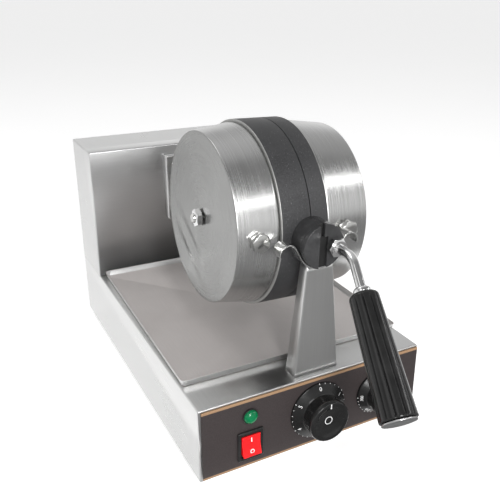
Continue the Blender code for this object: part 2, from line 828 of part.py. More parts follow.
def rear_yoke(iron):
    """The bracket behind the lower plate: it carries the hinge pin and the turning shaft."""
    yoke = box("rear_yoke", (-30, 90, -22), (-9, HINGE_Y - 3.5, 22), steel(), iron)
    rims = rod("rear_yoke_rims", (-60, 0, 0), (1, 0, 0), 120, PLATE_R + GAP, steel(), iron, 128)
    cut(yoke, rims)
    for side, where in ((-1, "lower"), (1, "upper")):
        low, high = sorted(side * z for z in ARM_Z)
        wall = box(f"yoke_side_{where}", (-29, 98.4, low), (-8, WEB_REAR - 1, high), steel(), iron)
        arm_low, arm_high = (-20, HINGE_Y - 6, low + 0.4), (6.5, WEB_REAR - 0.5, high - 0.4)
        join(yoke, wall, box(f"yoke_arm_{where}", arm_low, arm_high, steel(), iron))
    join(yoke, box("yoke_web", (-29.5, WEB_FRONT, -19.8), (8, WEB_REAR, 19.8), steel(), iron))
    hole(yoke, (0, HINGE_Y, 0), (0, 0, 1), PIN_R + 0.3, 60, sides=20)
    hole(yoke, (0, WEB_REAR, 0), (0, 1, 0), SHAFT_R + 0.25, 20, sides=32)
    rod("hinge_pin", (0, HINGE_Y, -23), (0, 0, 1), 46, PIN_R, chrome(), iron, sides=20)
    start = WEB_FRONT + 0.5
    rod("pivot_shaft", (0, start, 0), (0, 1, 0), 244 - start, SHAFT_R, steel(), iron, sides=32)
    collar_y = TOWER_FRONT - IRON_Y + SHEET + GAP + 20.5
    turned(
        "shaft_collar",
        [(SHAFT_R + 0.3, 8), (15, 8), (15, 0), (SHAFT_R + 0.3, 0)],
        (0, collar_y, 0),
        (0, 1, 0),
        steel(),
        iron,
        steps=24,
    )


def lid_knuckle(plate_obj, lid):
    """The upper plate's lug, which turns on the hinge pin."""
    lug = box("upper_lug", (1.0, -14, -13.6), (8.5, 0, 13.6), cast(), lid)
    eye = rod("upper_eye", (0, 0, -13.8), (0, 0, 1), 27.6, 6.5, cast(), lid, sides=24)
    join(plate_obj, lug, eye)
    hole(plate_obj, (0, 0, 0), (0, 0, 1), PIN_R + 0.3, 60, sides=20)


def handle(lid, lid_offset):
    seat = Vector(NUT_SEAT) - Vector(lid_offset)
    out, down = Vector((0, -1, 0)), Vector(ROD_DOWN).normalized()
    hex_nut("handle_nut", seat + out * GAP, out, 17.0, 7.7, ROD_R + 0.3, lid)
    corner = seat + out * ROD_ELBOW
    start = seat - out * 2.7
    end = corner + down * ROD_LEG
    reach = 9.0
    curve = bpy.data.curves.new("handle_rod", "CURVE")
    curve.dimensions = "3D"
    curve.bevel_depth = ROD_R * M
    curve.bevel_resolution = 3
    curve.use_fill_caps = True
    bend_in, bend_out = corner - out * reach, corner + down * reach
    bend = []
    steps = 8
    for i in range(steps + 1):
        t = i / steps
        bend.append(bend_in * (1 - t) ** 2 + corner * 2 * t * (1 - t) + bend_out * t**2)
    points = [start, *bend, end + down * 12]
    spline = curve.splines.new("POLY")
    spline.points.add(len(points) - 1)
    for point, place in zip(spline.points, points):
        point.co = (*(place * M), 1)
    curve.materials.append(chrome())
    link(bpy.data.objects.new("handle_rod", curve), lid)
    turned(
        "handle_ferrule",
        [(ROD_R + 0.3, 5.0), (7.8, 5.0), (8.4, 4.2), (8.4, 0), (ROD_R + 0.3, 0)],
        end - down * 0.3,
        -down,
        chrome(),
        lid,
        steps=24,
    )
    grip_piece(lid, end, down)


def grip_piece(lid, top, down):
    """A tapered grip with shallow flutes; its section is a circle with scallops."""
    flutes, depth = 8, 1.3
    sides = flutes * 4
    rings = [(0.0, -3.2), (3.0, 0.0), (GRIP_L * 0.5, None), (GRIP_L - 1.5, None), (GRIP_L, -1.0)]
    bm = bmesh.new()
    loops = []
    for height, inset in rings:
        radius = GRIP_TOP_R + (GRIP_END_R - GRIP_TOP_R) * height / GRIP_L + (inset or 0.0)
        loop = []
        for i in range(sides):
            turn = 2 * math.pi * i / sides
            scallop = depth * (0.5 + 0.5 * math.cos(flutes * turn))
            reach = radius - scallop
            loop.append(bm.verts.new((reach * math.cos(turn), reach * math.sin(turn), height)))
        loops.append(loop)
    for lower, upper in zip(loops, loops[1:]):
        for i in range(sides):
            j = (i + 1) % sides
            bm.faces.new((lower[i], lower[j], upper[j], upper[i]))
    bm.faces.new(reversed(loops[0]))
    bm.faces.new(loops[-1])
    grip = from_bmesh("handle_grip", bm, black(), lid, top, aim(down))
    hole(grip, Vector(top) + down * 5, down, ROD_R + 0.4, 18, sides=20)
    turned(
        "handle_end_cap",
        [(0, 2.2), (GRIP_END_R - 3.4, 2.2), (GRIP_END_R - 1.6, 1.2), (GRIP_END_R - 1.6, 0), (0, 0)],
        Vector(top) + down * (GRIP_L + GAP),
        down,
        chrome(),
        lid,
        steps=32,
    )


def iron():
    axis = empty("iron_axis", None, (AXIS_X, IRON_Y, AXIS_Z), (0, math.radians(IRON_TILT), 0))
    lid_offset = (0, HINGE_Y, 0)
    lid = empty("lid_hinge", axis, lid_offset)
    iron_half("lower", axis, (0, 0, 0), LOWER_BACK, LOWER_END, LOWER_BOLT_X)
    upper = iron_half("upper", lid, lid_offset, UPPER_BACK, UPPER_END, UPPER_BOLT_X)
    lid_knuckle(upper, lid)
    hubs(axis, lid, lid_offset)
    rear_yoke(axis)
    handle(lid, lid_offset)


def main():
    clear_scene()
    base_shell()
    bottom_plate()
    feet()
    tower()
    rear_bracket()
    bearing()
    wiring()
    control_panel()
    pilot_lamp()
    switch()
    knob("timer", TIMER, 32.0, 23.0)
    knob("thermostat", THERMOSTAT, 25.0, 18.0)
    regulators()
    upright()
    cradle_strip()
    drip_tray()
    iron()


main()
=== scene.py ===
import json
import math

import bmesh
import bpy
from mathutils import Matrix, Vector


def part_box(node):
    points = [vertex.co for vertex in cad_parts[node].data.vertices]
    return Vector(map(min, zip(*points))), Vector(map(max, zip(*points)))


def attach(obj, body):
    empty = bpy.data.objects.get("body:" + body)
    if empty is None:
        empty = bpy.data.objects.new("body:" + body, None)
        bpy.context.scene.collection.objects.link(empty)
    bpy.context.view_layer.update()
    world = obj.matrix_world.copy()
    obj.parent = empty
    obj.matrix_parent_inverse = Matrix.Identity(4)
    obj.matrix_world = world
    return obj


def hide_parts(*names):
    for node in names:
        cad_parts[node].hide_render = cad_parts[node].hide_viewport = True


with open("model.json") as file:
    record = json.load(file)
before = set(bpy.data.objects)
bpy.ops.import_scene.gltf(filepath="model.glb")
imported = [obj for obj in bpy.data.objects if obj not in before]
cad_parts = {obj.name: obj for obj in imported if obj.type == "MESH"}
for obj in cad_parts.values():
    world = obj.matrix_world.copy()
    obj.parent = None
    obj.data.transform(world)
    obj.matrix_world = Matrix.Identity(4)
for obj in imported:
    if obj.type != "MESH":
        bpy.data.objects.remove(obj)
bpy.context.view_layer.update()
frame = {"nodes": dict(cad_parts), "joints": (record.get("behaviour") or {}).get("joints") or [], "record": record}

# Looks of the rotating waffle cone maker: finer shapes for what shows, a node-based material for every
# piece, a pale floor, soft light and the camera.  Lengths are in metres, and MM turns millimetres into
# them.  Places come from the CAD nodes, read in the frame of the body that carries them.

MM = 0.001
WORLD = Matrix.Identity(4)

JOINTS = {joint["name"]: joint for joint in frame["joints"]}
SLOT_OF = {row["node"]: row["material_slot"] for row in frame["record"]["subparts"]}
HUB = Vector(JOINTS["iron_rotation"]["pos_m"])

SHEET = 1.5 * MM
# The covers are a little wider than the CAD's straight ones, and widen towards the plates.
COVER_DISC_EXTRA, COVER_CONE = 1.0 * MM, 6.3 * MM
STUD_R, STUD_THREAD, BOLT_HEAD = 5.0 * MM, 18 * MM, 5.0 * MM
# The cradle strip runs round the hub at CUP_R, and each wing arches over a point beside the hub.
STRIP_GAUGE, CUP_R = 1.5 * MM, 22.9 * MM
STRIP_ARCH_AT, STRIP_ARCH_R = (34.9 * MM, -3.2 * MM), 9.2 * MM
# Right of STRIP_RELIEF_X the strip's front edge is set back, which makes that wing narrower.
STRIP_RELIEF, STRIP_RELIEF_X = 2.5 * MM, 24.2 * MM


# ---------------------------------------------------------------- places in the frame


def iron_frame():
    """The iron's own axes: X square to the seam, Y along the turning axis, Z up the seam."""
    up = Vector(JOINTS["lid_opening"]["axis"])
    return Matrix.Translation(HUB) @ Matrix.Rotation(math.atan2(up.x, up.z), 4, "Y")


IRON = iron_frame()


def corners_of(node, axes):
    """A CAD node's corners, measured along a frame's axes."""
    back = axes.inverted()
    return [back @ vert.co for vert in frame["nodes"][node].data.vertices]


def span(node, axes=IRON):
    """Lowest and highest corner of a CAD node, measured along a frame's axes."""
    points = corners_of(node, axes)
    low = Vector(min(p[i] for p in points) for i in range(3))
    high = Vector(max(p[i] for p in points) for i in range(3))
    return low, high


def middle(node):
    low, high = span(node)
    return (low + high) / 2


def axis_to(start, direction):
    """A frame whose X axis points along direction."""
    turn = Vector(direction).to_track_quat("X", "Z").to_matrix().to_4x4()
    return Matrix.Translation(Vector(start)) @ turn


def on_iron(start, direction):
    """A frame whose X axis points along one of the iron's directions."""
    return IRON @ axis_to(start, direction)


def rotation(degrees, axis):
    return Matrix.Rotation(math.radians(degrees), 4, axis)


# ---------------------------------------------------------------- materials


class Nodes:
    """Adds nodes to the tree of a material or of the world."""

    def __init__(self, tree):
        self.tree = tree

    def node(self, kind, inputs=(), **settings):
        """A new node.  inputs is a dict or list of values and sockets for its inputs."""
        made = self.tree.nodes.new(kind)
        for key, value in settings.items():
            setattr(made, key, value)
        pairs = inputs.items() if isinstance(inputs, dict) else enumerate(inputs)
        for key, value in pairs:
            self.fill(made.inputs[key], value)
        return made

    def fill(self, socket, value):
        """Links a socket to another, or gives it a value; a colour may leave its alpha out."""
        if isinstance(value, bpy.types.NodeSocket):
            self.tree.links.new(value, socket)
        elif isinstance(value, tuple):
            socket.default_value = value if len(value) == 4 else (*value, 1.0)
        else:
            socket.default_value = value

    def math(self, operation, *values):
        return self.node("ShaderNodeMath", values, operation=operation).outputs[0]


class Look(Nodes):
    """A Principled material put together from nodes."""

    def __init__(self, name, colour, metallic=0.0, roughness=0.5, **values):
        self.material = bpy.data.materials.new(name)
        self.material.use_nodes = True
        super().__init__(self.material.node_tree)
        self.shader = self.tree.nodes["Principled BSDF"]
        self.shader.inputs["Base Color"].default_value = (*colour, 1.0)
        self.shader.inputs["Metallic"].default_value = metallic
        self.shader.inputs["Roughness"].default_value = roughness
        for key, value in values.items():
            self.shader.inputs[key.replace("_", " ")].default_value = value
        self.height = None

    def place(self):
        """The point on the piece, in metres."""
        return self.node("ShaderNodeTexCoord").outputs["Object"]

    def split(self):
        return self.node("ShaderNodeSeparateXYZ", [self.place()]).outputs

    def reach(self):
        """The point's distance from the X axis."""
        y, z = self.split()[1:]
        return self.math("SQRT", self.math("ADD", self.math("MULTIPLY", y, y), self.math("MULTIPLY", z, z)))

    def stretched(self, per_metre):
        """The point, with each axis multiplied, so that a noise runs long on one axis."""
        made = self.node("ShaderNodeMapping", [self.place()])
        made.inputs["Scale"].default_value = per_metre
        return made.outputs[0]

    def turned(self, across, around):
        """Coordinates that run long around the X axis, for marks left by turning."""
        x, y, z = self.split()
        angle = self.math("ARCTAN2", z, y)
        fine = self.math("MULTIPLY", x, across)
        out = self.math("MULTIPLY", self.reach(), across)
        # The angle becomes a point on a small circle, so the marks have no seam.
        on_y = self.math("MULTIPLY", self.math("COSINE", angle), around)
        on_z = self.math("MULTIPLY", self.math("SINE", angle), around)
        point = [self.math("ADD", fine, on_y), self.math("ADD", out, on_z), on_z]
        return self.node("ShaderNodeCombineXYZ", point).outputs[0]

    def noise(self, where, scale=1.0, detail=4.0, roughness=0.5, distortion=0.0):
        values = (where, scale, detail, roughness, distortion)
        names = ("Vector", "Scale", "Detail", "Roughness", "Distortion")
        return self.node("ShaderNodeTexNoise", dict(zip(names, values))).outputs["Fac"]

    def spread(self, value, low=0.3, high=0.7, to_low=0.0, to_high=1.0):
        """Maps low..high of a value to another range, and holds it there."""
        values = (value, low, high, to_low, to_high)
        names = ("Value", "From Min", "From Max", "To Min", "To Max")
        return self.node("ShaderNodeMapRange", dict(zip(names, values))).outputs["Result"]

    def tone(self, value, first, second, low=0.3, high=0.7):
        """The colours from first to second, as a value goes from low to high."""
        return self.mix(self.spread(value, low, high), first, second)

    def mix(self, share, first, second):
        inputs = {0: share, 6: first, 7: second}
        return self.node("ShaderNodeMix", inputs, data_type="RGBA").outputs[2]

    def set(self, name, socket):
        self.tree.links.new(socket, self.shader.inputs[name])

    def bump(self, value, strength, distance):
        """Adds a height to the surface, on top of the ones added before."""
        inputs = {"Height": value, "Strength": strength, "Distance": distance}
        if self.height is not None:
            inputs["Normal"] = self.height
        self.height = self.node("ShaderNodeBump", inputs).outputs[0]
        self.set("Normal", self.height)


def scaled(colour, share):
    return tuple(value * share for value in colour)


def brushed(name, colour, roughness, long_axis):
    """Rolled and brushed sheet, with its grain along one axis, faint smears and handling marks."""
    made = Look(name, colour, 1.0, roughness, Anisotropic=0.4)
    fine = [900.0, 900.0, 900.0]
    fine["XYZ".index(long_axis)] = 14.0
    lines = made.noise(made.stretched(fine), detail=3.0)
    specks = made.noise(made.place(), 1500.0, 2.0)
    smears = made.noise(made.place(), 9.0, 3.0, distortion=0.3)
    rough = made.spread(smears, to_low=roughness - 0.02, to_high=roughness + 0.03)
    made.set("Roughness", made.math("ADD", rough, made.spread(lines, to_low=-0.025, to_high=0.035)))
    made.set("Base Color", made.tone(lines, scaled(colour, 0.96), colour, 0.35, 0.65))
    made.bump(lines, 0.0125, 0.1 * MM)
    made.bump(specks, 0.005, 0.1 * MM)
    return made


def turned_cover(name, colour, roughness):
    """Spun and brushed covers: the grain runs round the iron, with cloudy smears in it."""
    made = Look(name, colour, 1.0, roughness, Anisotropic=0.5)
    lines = made.noise(made.turned(1500.0, 1.2), roughness=0.6)
    clouds = made.noise(made.place(), 20.0, roughness=0.6, distortion=0.4)
    rough = made.spread(clouds, to_low=roughness - 0.03, to_high=roughness + 0.04)
    made.set("Roughness", made.math("ADD", rough, made.spread(lines, to_low=-0.02, to_high=0.03)))
    made.set("Base Color", made.tone(lines, scaled(colour, 0.80), colour, 0.32, 0.68))
    made.bump(lines, 0.03, 0.1 * MM)
    made.set("Tangent", made.node("ShaderNodeTangent", direction_type="RADIAL", axis="X").outputs[0])
    return made


def coated_cast(name, machined_x, rim):
    """Cast aluminium under a dark non-stick coating with light flecks, and a machined rear edge."""
    made = Look(name, (0.050, 0.050, 0.052), 0.0, 0.50, Specular_IOR_Level=0.4)
    grain = made.noise(made.place(), 700.0, 5.0, 0.6)
    patches = made.noise(made.place(), 30.0, 4.0)
    flecks = made.node("ShaderNodeTexVoronoi", {"Vector": made.place(), "Scale": 1500.0}).outputs
    near = made.spread(flecks["Distance"], 0.16, 0.30, 1.0, 0.0)
    lot = made.node("ShaderNodeSeparateColor", [flecks["Color"]]).outputs[0]
    fleck = made.math("MULTIPLY", near, made.spread(lot, 0.955, 0.965))
    body = made.tone(grain, (0.020, 0.020, 0.021), (0.044, 0.044, 0.046), 0.35, 0.68)
    body = made.mix(made.spread(patches, 0.35, 0.7, 0.0, 0.35), body, (0.052, 0.052, 0.054))
    body = made.mix(fleck, body, (0.40, 0.40, 0.40))
    away = made.math("ABSOLUTE", made.math("SUBTRACT", made.split()[0], machined_x))
    near_back = made.spread(away, 0.75 * MM, 0.95 * MM, 1.0, 0.0)
    near_rim = made.spread(made.reach(), rim - 4.0 * MM, rim - 0.9 * MM, 0.35, 1.0)
    edge = made.math("MULTIPLY", near_back, near_rim)
    made.set("Base Color", made.mix(edge, body, (0.42, 0.42, 0.41)))
    made.set("Metallic", edge)
    made.set("Roughness", made.spread(grain, to_low=0.42, to_high=0.58))
    made.bump(grain, 0.22, 0.15 * MM)
    return made


def satin_black(name, colour, roughness, grain):
    """Black enamel or moulding with a fine texture and a few paler rubbed patches."""
    made = Look(name, colour, 0.0, roughness, Specular_IOR_Level=0.32)
    rubbed = made.noise(made.place(), 45.0, 5.0, 0.65)
    made.set("Roughness", made.spread(rubbed, to_low=roughness - 0.07, to_high=roughness + 0.08))
    paler = made.spread(rubbed, 0.45, 0.75, 0.0, 0.6)
    made.set("Base Color", made.mix(paler, colour, scaled(colour, 2.0)))
    made.bump(made.noise(made.place(), 900.0, 3.0), grain, 0.08 * MM)
    return made


def bright_plate(name, colour=(0.80, 0.80, 0.80), roughness=0.12):
    """Chrome or nickel plating, a little cloudy."""
    made = Look(name, colour, 1.0, roughness)
    clouds = made.noise(made.place(), 130.0, roughness=0.6)
    made.set("Roughness", made.spread(clouds, to_low=roughness - 0.04, to_high=roughness + 0.09))
    made.set("Base Color", made.tone(clouds, scaled(colour, 0.88), colour))
    made.bump(made.noise(made.place(), 420.0, 3.0), 0.04, 0.1 * MM)
    return made


def panel_overlay():
    """The dark brown control panel, with a bronze line along its top and its bottom edge."""
    low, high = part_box("control_panel")
    made = Look("panel_overlay", (0.012, 0.010, 0.0095), 0.0, 0.45, Specular_IOR_Level=0.22)
    grain = made.noise(made.place(), 1200.0, 3.0)
    z = made.split()[2]
    top = made.spread(made.math("SUBTRACT", high.z, z), 2.9 * MM, 3.1 * MM, 1.0, 0.0)
    bottom = made.spread(made.math("SUBTRACT", z, low.z), 2.3 * MM, 2.5 * MM, 1.0, 0.0)
    dark = made.tone(grain, (0.034, 0.0275, 0.0275), (0.050, 0.041, 0.041))
    made.set("Base Color", made.mix(made.math("MAXIMUM", top, bottom), dark, (0.30, 0.185, 0.105)))
    made.set("Roughness", made.spread(grain, to_low=0.36, to_high=0.48))
    made.bump(grain, 0.06, 0.05 * MM)
    return made


def tray_steel():
    """The tray's steel, dulled by washing: greyer and softer than the box."""
    made = Look("tray_steel", (0.60, 0.565, 0.55), 0.15, 0.50)
    grain = made.noise(made.stretched((900.0, 20.0, 900.0)), detail=3.0)
    stains = made.noise(made.place(), 12.0, 5.0, 0.6, distortion=0.8)
    body = made.tone(stains, (0.56, 0.525, 0.51), (0.63, 0.595, 0.58))
    made.set("Base Color", made.mix(made.spread(grain, to_high=0.3), body, (0.52, 0.49, 0.48)))
    made.set("Roughness", made.spread(stains, to_low=0.46, to_high=0.60))
    made.bump(grain, 0.05, 0.1 * MM)
    return made


def plain(name, colour, metallic, roughness, scale, depth):
    """A simple surface with a mottled colour and a fine texture of its own scale."""
    made = Look(name, colour, metallic, roughness)
    mottle = made.noise(made.place(), scale, 5.0, 0.6)
    made.set("Base Color", made.tone(mottle, scaled(colour, 0.72), colour))
    made.set("Roughness", made.spread(mottle, to_low=roughness - 0.05, to_high=roughness + 0.07))
    made.bump(mottle, depth, 0.2 * MM)
    return made


def glossy_colour(name, colour, glow, roughness):
    """Clear coloured plastic that glows in its own colour: a lamp behind the green lens, and painted light on the
    red rocker.
    """
    # The emission is a lamp's light for the green lens, and painted light for the red rocker.
    lit = {"Emission_Color": (*colour, 1.0), "Emission_Strength": glow}
    made = Look(name, colour, 0.0, roughness, Specular_IOR_Level=0.4, **lit)
    depth = made.noise(made.place(), 190.0, 3.0)
    made.set("Base Color", made.tone(depth, scaled(colour, 0.75), colour))
    made.bump(made.noise(made.place(), 500.0, 2.0), 0.03, 0.1 * MM)
    return made


def make_looks():
    low, high = span("lower_plate")
    lower_rear, upper_rear, rim = low.x, span("upper_plate")[1].x, high.z
    return {
        "stainless": brushed("stainless", (0.66, 0.66, 0.655), 0.30, "Y"),
        "stainless_up": brushed("stainless_upright", (0.62, 0.62, 0.615), 0.34, "Z"),
        # The tower's front: the box's steel painted darker, as painted shade.
        "shaded_stainless_front": brushed("shaded_stainless_front", (0.52, 0.52, 0.52), 0.40, "X"),
        "tray_steel": tray_steel(),
        "polished_cover": turned_cover("cover_side", (0.60, 0.60, 0.595), 0.24),
        # The covers' flat discs: their steel painted darker than the sides, as painted shade.
        "shaded_cover_disc": turned_cover("shaded_cover_disc", (0.33, 0.33, 0.325), 0.27),
        "coated_cast": coated_cast("coated_cast_lower", lower_rear, rim),
        "coated_cast_upper": coated_cast("coated_cast_upper", upper_rear, rim),
        "black_hub": satin_black("black_hub", (0.034, 0.034, 0.035), 0.20, 0.06),
        "chrome": bright_plate("chrome"),
        "spring_strip": bright_plate("spring_strip", (0.70, 0.70, 0.69), 0.20),
        "zinc_steel": bright_plate("zinc_steel", (0.56, 0.56, 0.545), 0.18),
        "cap_metal": bright_plate("cap_metal", (0.46, 0.46, 0.46), 0.30),
        "element_sheath": plain("element_sheath", (0.25, 0.21, 0.18), 1.0, 0.48, 160.0, 0.15),
        "mineral_wool": plain("mineral_wool", (0.60, 0.55, 0.42), 0.0, 0.95, 700.0, 0.9),
        "bronze": plain("bronze", (0.55, 0.36, 0.17), 1.0, 0.34, 300.0, 0.08),
        "black_phenolic": satin_black("grip_phenolic", (0.012, 0.012, 0.012), 0.17, 0.05),
        "knob_phenolic": satin_black("knob_phenolic", (0.010, 0.010, 0.010), 0.21, 0.05),
        "switch_plastic": satin_black("switch_plastic", (0.016, 0.016, 0.016), 0.34, 0.12),
        # The rocker's glow is painted light, which brightens its red.
        "red_rocker": glossy_colour("red_rocker", (0.78, 0.003, 0.006), 0.22, 0.30),
        "green_lens": glossy_colour("green_lens", (0.0, 0.16, 0.055), 0.03, 0.10),
        "white_plastic": plain("white_plastic", (0.80, 0.80, 0.76), 0.0, 0.45, 200.0, 0.05),
        "panel_overlay": panel_overlay(),
        "rubber": plain("rubber", (0.035, 0.035, 0.035), 0.0, 0.75, 500.0, 0.3),
        "white_print": plain("white_print", (0.90, 0.90, 0.90), 0.0, 0.50, 900.0, 0.05),
        # Near black for the hub's groove and the screws' slots: painted shade.
        "painted_gap_shade": plain("painted_gap_shade", (0.012, 0.012, 0.012), 0.0, 0.80, 300.0, 0.05),
    }


LOOKS = make_looks()


# ---------------------------------------------------------------- building pieces


def mesh_of(name, bm):
    mesh = bpy.data.meshes.new(name)
    bmesh.ops.recalc_face_normals(bm, faces=bm.faces)
    bm.to_mesh(mesh)
    bm.free()
    return mesh


def add(name, data, look, at=WORLD):
    """Puts a mesh, curve or text in the scene with one material."""
    obj = bpy.data.objects.new(name, data)
    bpy.context.scene.collection.objects.link(obj)
    obj.matrix_world = at
    data.materials.clear()
    data.materials.append(LOOKS[look].material)
    return obj


def enlist(obj, body, nodes=()):
    """Says which body carries a piece and which CAD nodes it stands for.
    """
    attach(obj, body)
    if nodes:
        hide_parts(*nodes)
    return obj


def piece(name, shape, look, body, nodes=(), at=WORLD, smooth=35):
    """Puts a mesh, or a bmesh that has just been built, in the scene as a piece of the object."""
    mesh = mesh_of(name, shape) if isinstance(shape, bmesh.types.BMesh) else shape
    obj = add(name, mesh, look, at)
    if smooth:
        mesh.shade_smooth()
        mesh.set_sharp_from_angle(angle=math.radians(smooth))
    return enlist(obj, body, nodes)


def second_look(obj, look, picks):
    """Gives the faces that picks chooses a second finish."""
    obj.data.materials.append(LOOKS[look].material)
    for face in obj.data.polygons:
        if picks(face):
            face.material_index = 1


def bevelled(obj, width, segments, angle=35):
    mod = obj.modifiers.new("edges", "BEVEL")
    mod.width = width
    mod.segments = segments
    mod.limit_method = "ANGLE"
    mod.angle_limit = math.radians(angle)
    mod.harden_normals = True
    return obj


def sheet_metal(obj, gauge=SHEET, offset=-1.0):
    """Gives a surface the thickness of its sheet."""
    mod = obj.modifiers.new("sheet", "SOLIDIFY")
    mod.thickness = gauge
    mod.offset = offset
    return obj


def mm(*points):
    """Pairs of millimetres as metres."""
    return [(a * MM, b * MM) for a, b in points]


def rectangle(half_u, half_v):
    return [(-half_u, -half_v), (half_u, -half_v), (half_u, half_v), (-half_u, half_v)]


def circle(radius, steps):
    """Points all the way round the origin."""
    turns = [2 * math.pi * i / steps for i in range(steps)]
    return [(radius * math.cos(turn), radius * math.sin(turn)) for turn in turns]


def arc(radius, start, end, steps):
    """Points on a circle round the origin, from one angle to another in degrees."""
    turns = [math.radians(start + (end - start) * i / steps) for i in range(steps + 1)]
    return [(radius * math.cos(turn), radius * math.sin(turn)) for turn in turns]


def bent(first, corner, last, steps):
    """Points on the curve that takes a corner from first to last."""
    shares = [step / steps for step in range(steps + 1)]
    return [first * (1 - t) ** 2 + corner * 2 * t * (1 - t) + last * t**2 for t in shares]


def rounded_line(points, radius, steps, closed=True):
    """A 2D line with its corners rounded; radius is one number or one for each point."""
    count = len(points)
    radii = radius if isinstance(radius, (list, tuple)) else [radius] * count
    made = []
    for i, point in enumerate(points):
        here = Vector(point)
        if not closed and i in (0, count - 1):
            made.append(here)
            continue
        back = Vector(points[i - 1]) - here
        on = Vector(points[(i + 1) % count]) - here
        reach = min(radii[i], back.length * 0.45, on.length * 0.45)
        if reach < 1e-6 or back.angle(on) > math.radians(178):
            made.append(here)
            continue
        made += bent(here + back.normalized() * reach, here, here + on.normalized() * reach, steps)
    return made


def join_rings(bm, rings):
    """Joins each ring of vertices to the next with faces; a ring may be a single vertex."""
    for first, second in zip(rings, rings[1:]):
        count = max(len(first), len(second))
        for i in range(count):
            j = (i + 1) % count
            if len(first) == 1 and len(second) > 1:
                bm.faces.new((first[0], second[i], second[j]))
            elif len(second) == 1 and len(first) > 1:
                bm.faces.new((first[i], second[0], first[j]))
            elif len(first) > 1:
                bm.faces.new((first[i], second[i], second[j], first[j]))


def lathe(profile, steps):
    """Turns (radius, distance along X) points round the X axis.

    A profile that starts away from the axis is closed into a ring.
    """
    bm = bmesh.new()
    rings = []
    for radius, along in profile:
        points = circle(radius, steps) if radius >= 1e-7 else [(0, 0)]
        rings.append([bm.verts.new((along, y, z)) for y, z in points])
    if len(rings[0]) > 1:
        rings.append(rings[0])
    join_rings(bm, rings)
    return bm


def hexagon(across, thick, bore=0.02 * MM):
    """A hexagon nut or head along +X with 30 degree chamfers at both ends."""
    flat, steps = across / 2, 72
    crown = flat * 0.94
    slope = math.tan(math.radians(30))
    bm = bmesh.new()

    def ring(radius, height):
        """A ring at one radius, or out to the flats and down the chamfer if that is None."""
        made = []
        for i in range(steps):
            turn = 2 * math.pi * i / steps
            edge = flat / math.cos((turn + math.pi / 6) % (math.pi / 3) - math.pi / 6)
            drop = (edge - crown) * slope
            if radius is None:
                x, reach = abs(height - drop), edge
            else:
                x, reach = height, radius
            made.append(bm.verts.new((x, reach * math.cos(turn), reach * math.sin(turn))))
        return made

    sizes = ((bore, 0.0), (crown, 0.0), (None, 0.0), (None, thick), (crown, thick), (bore, thick))
    rings = [ring(radius, height) for radius, height in sizes]
    join_rings(bm, rings + rings[:1])
    return bm


def thread_profile(radius, length):
    """The outline of a threaded stud that ends in a chamfer, from its root to its tip."""
    pitch = 1.25 * MM
    depth = pitch * 0.3
    points = [(0.0, 0.0), (radius - depth, 0.0)]
    for i in range(int(length / pitch) - 1):
        points.append((radius, (i + 0.5) * pitch))
        points.append((radius - depth, (i + 1.0) * pitch))
    return points + [(radius - depth, length - 0.6 * MM), (radius - 2 * depth, length), (0.0, length)]


def slab(outline, low, high, axes):
    """A 2D outline drawn on two of a frame's axes, extruded from low to high along the third."""
    u, v, w = axes
    bm = bmesh.new()
    levels = []
    for depth in (low, high):
        level = []
        for a, b in outline:
            point = [0.0, 0.0, 0.0]
            point[u], point[v], point[w] = a, b, depth
            level.append(bm.verts.new(point))
        levels.append(level)
    return closed_by_ends(bm, levels)


def closed_by_ends(bm, rings):
    """Joins rings into a tube and closes both its ends."""
    join_rings(bm, rings)
    bm.faces.new(rings[0])
    bm.faces.new(reversed(rings[-1]))
    return bm


def block(low, high):
    bm = bmesh.new()
    bmesh.ops.create_cube(bm, size=1.0)
    for vert in bm.verts:
        vert.co = Vector((low[i] if vert.co[i] < 0 else high[i]) for i in range(3))
    return bm


def folded_box(name, look, node, open_ways, radius, segments):
    """A sheet box with rounded folds; open_ways are the directions of its open sides."""
    bm = block(*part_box(node))
    gone = [face for face in bm.faces if any(face.normal.dot(Vector(way)) > 0.9 for way in open_ways)]
    rim = {edge for face in gone for edge in face.edges}
    folds = [edge for edge in bm.edges if edge not in rim]
    bmesh.ops.delete(bm, geom=gone, context="FACES_ONLY")
    bmesh.ops.bevel(bm, geom=folds, offset=radius, segments=segments, profile=0.5, affect="EDGES")
    return sheet_metal(piece(name, bm, look, "base", [node]))


def tube_piece(name, points, radius, look, body, nodes, at, sides):
    """A round bar along a line of points."""
    curve = bpy.data.curves.new(name, "CURVE")
    curve.dimensions = "3D"
    curve.bevel_depth = radius
    curve.bevel_resolution = sides
    curve.use_fill_caps = True
    spline = curve.splines.new("POLY")
    spline.points.add(len(points) - 1)
    for point, place in zip(spline.points, points):
        point.co = (*place, 1.0)
    spline.use_smooth = True
    return enlist(add(name, curve, look, at), body, nodes)


# ---------------------------------------------------------------- base, tower, upright, tray


def base_and_tower():
    folded_box("base_casing", "stainless", "base_shell", [(0, 0, -1)], 1.6 * MM, 6)
    ways = [(0, 1, 0), (0, 0, -1)]
    tower = folded_box("tower_casing", "stainless", "tower_shell", ways, 1.8 * MM, 4)
    # The tower's front face takes the darker steel: painted shade.
    second_look(tower, "shaded_stainless_front", lambda face: face.normal.y < -0.7)
    back_screws()


def back_screws():
    """Pan-head screws that hold the tower's back plate and the bottom plate."""
    low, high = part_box("tower_back_plate")
    inset = 7 * MM
    places = []
    for x in (low.x + inset, high.x - inset):
        for z in (low.z + inset, (low.z + high.z) / 2, high.z - inset):
            places.append(((x, high.y, z), (0, 1, 0)))
    low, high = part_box("bottom_plate")
    inset = 12 * MM
    for x in (low.x + inset, high.x - inset):
        for y in (low.y + inset, high.y - inset):
            places.append(((x, y, low.z), (0, 0, -1)))
    for i, (at, way) in enumerate(places):
        pan_screw(f"casing_screw_{i + 1}", at, way, 2.9 * MM)


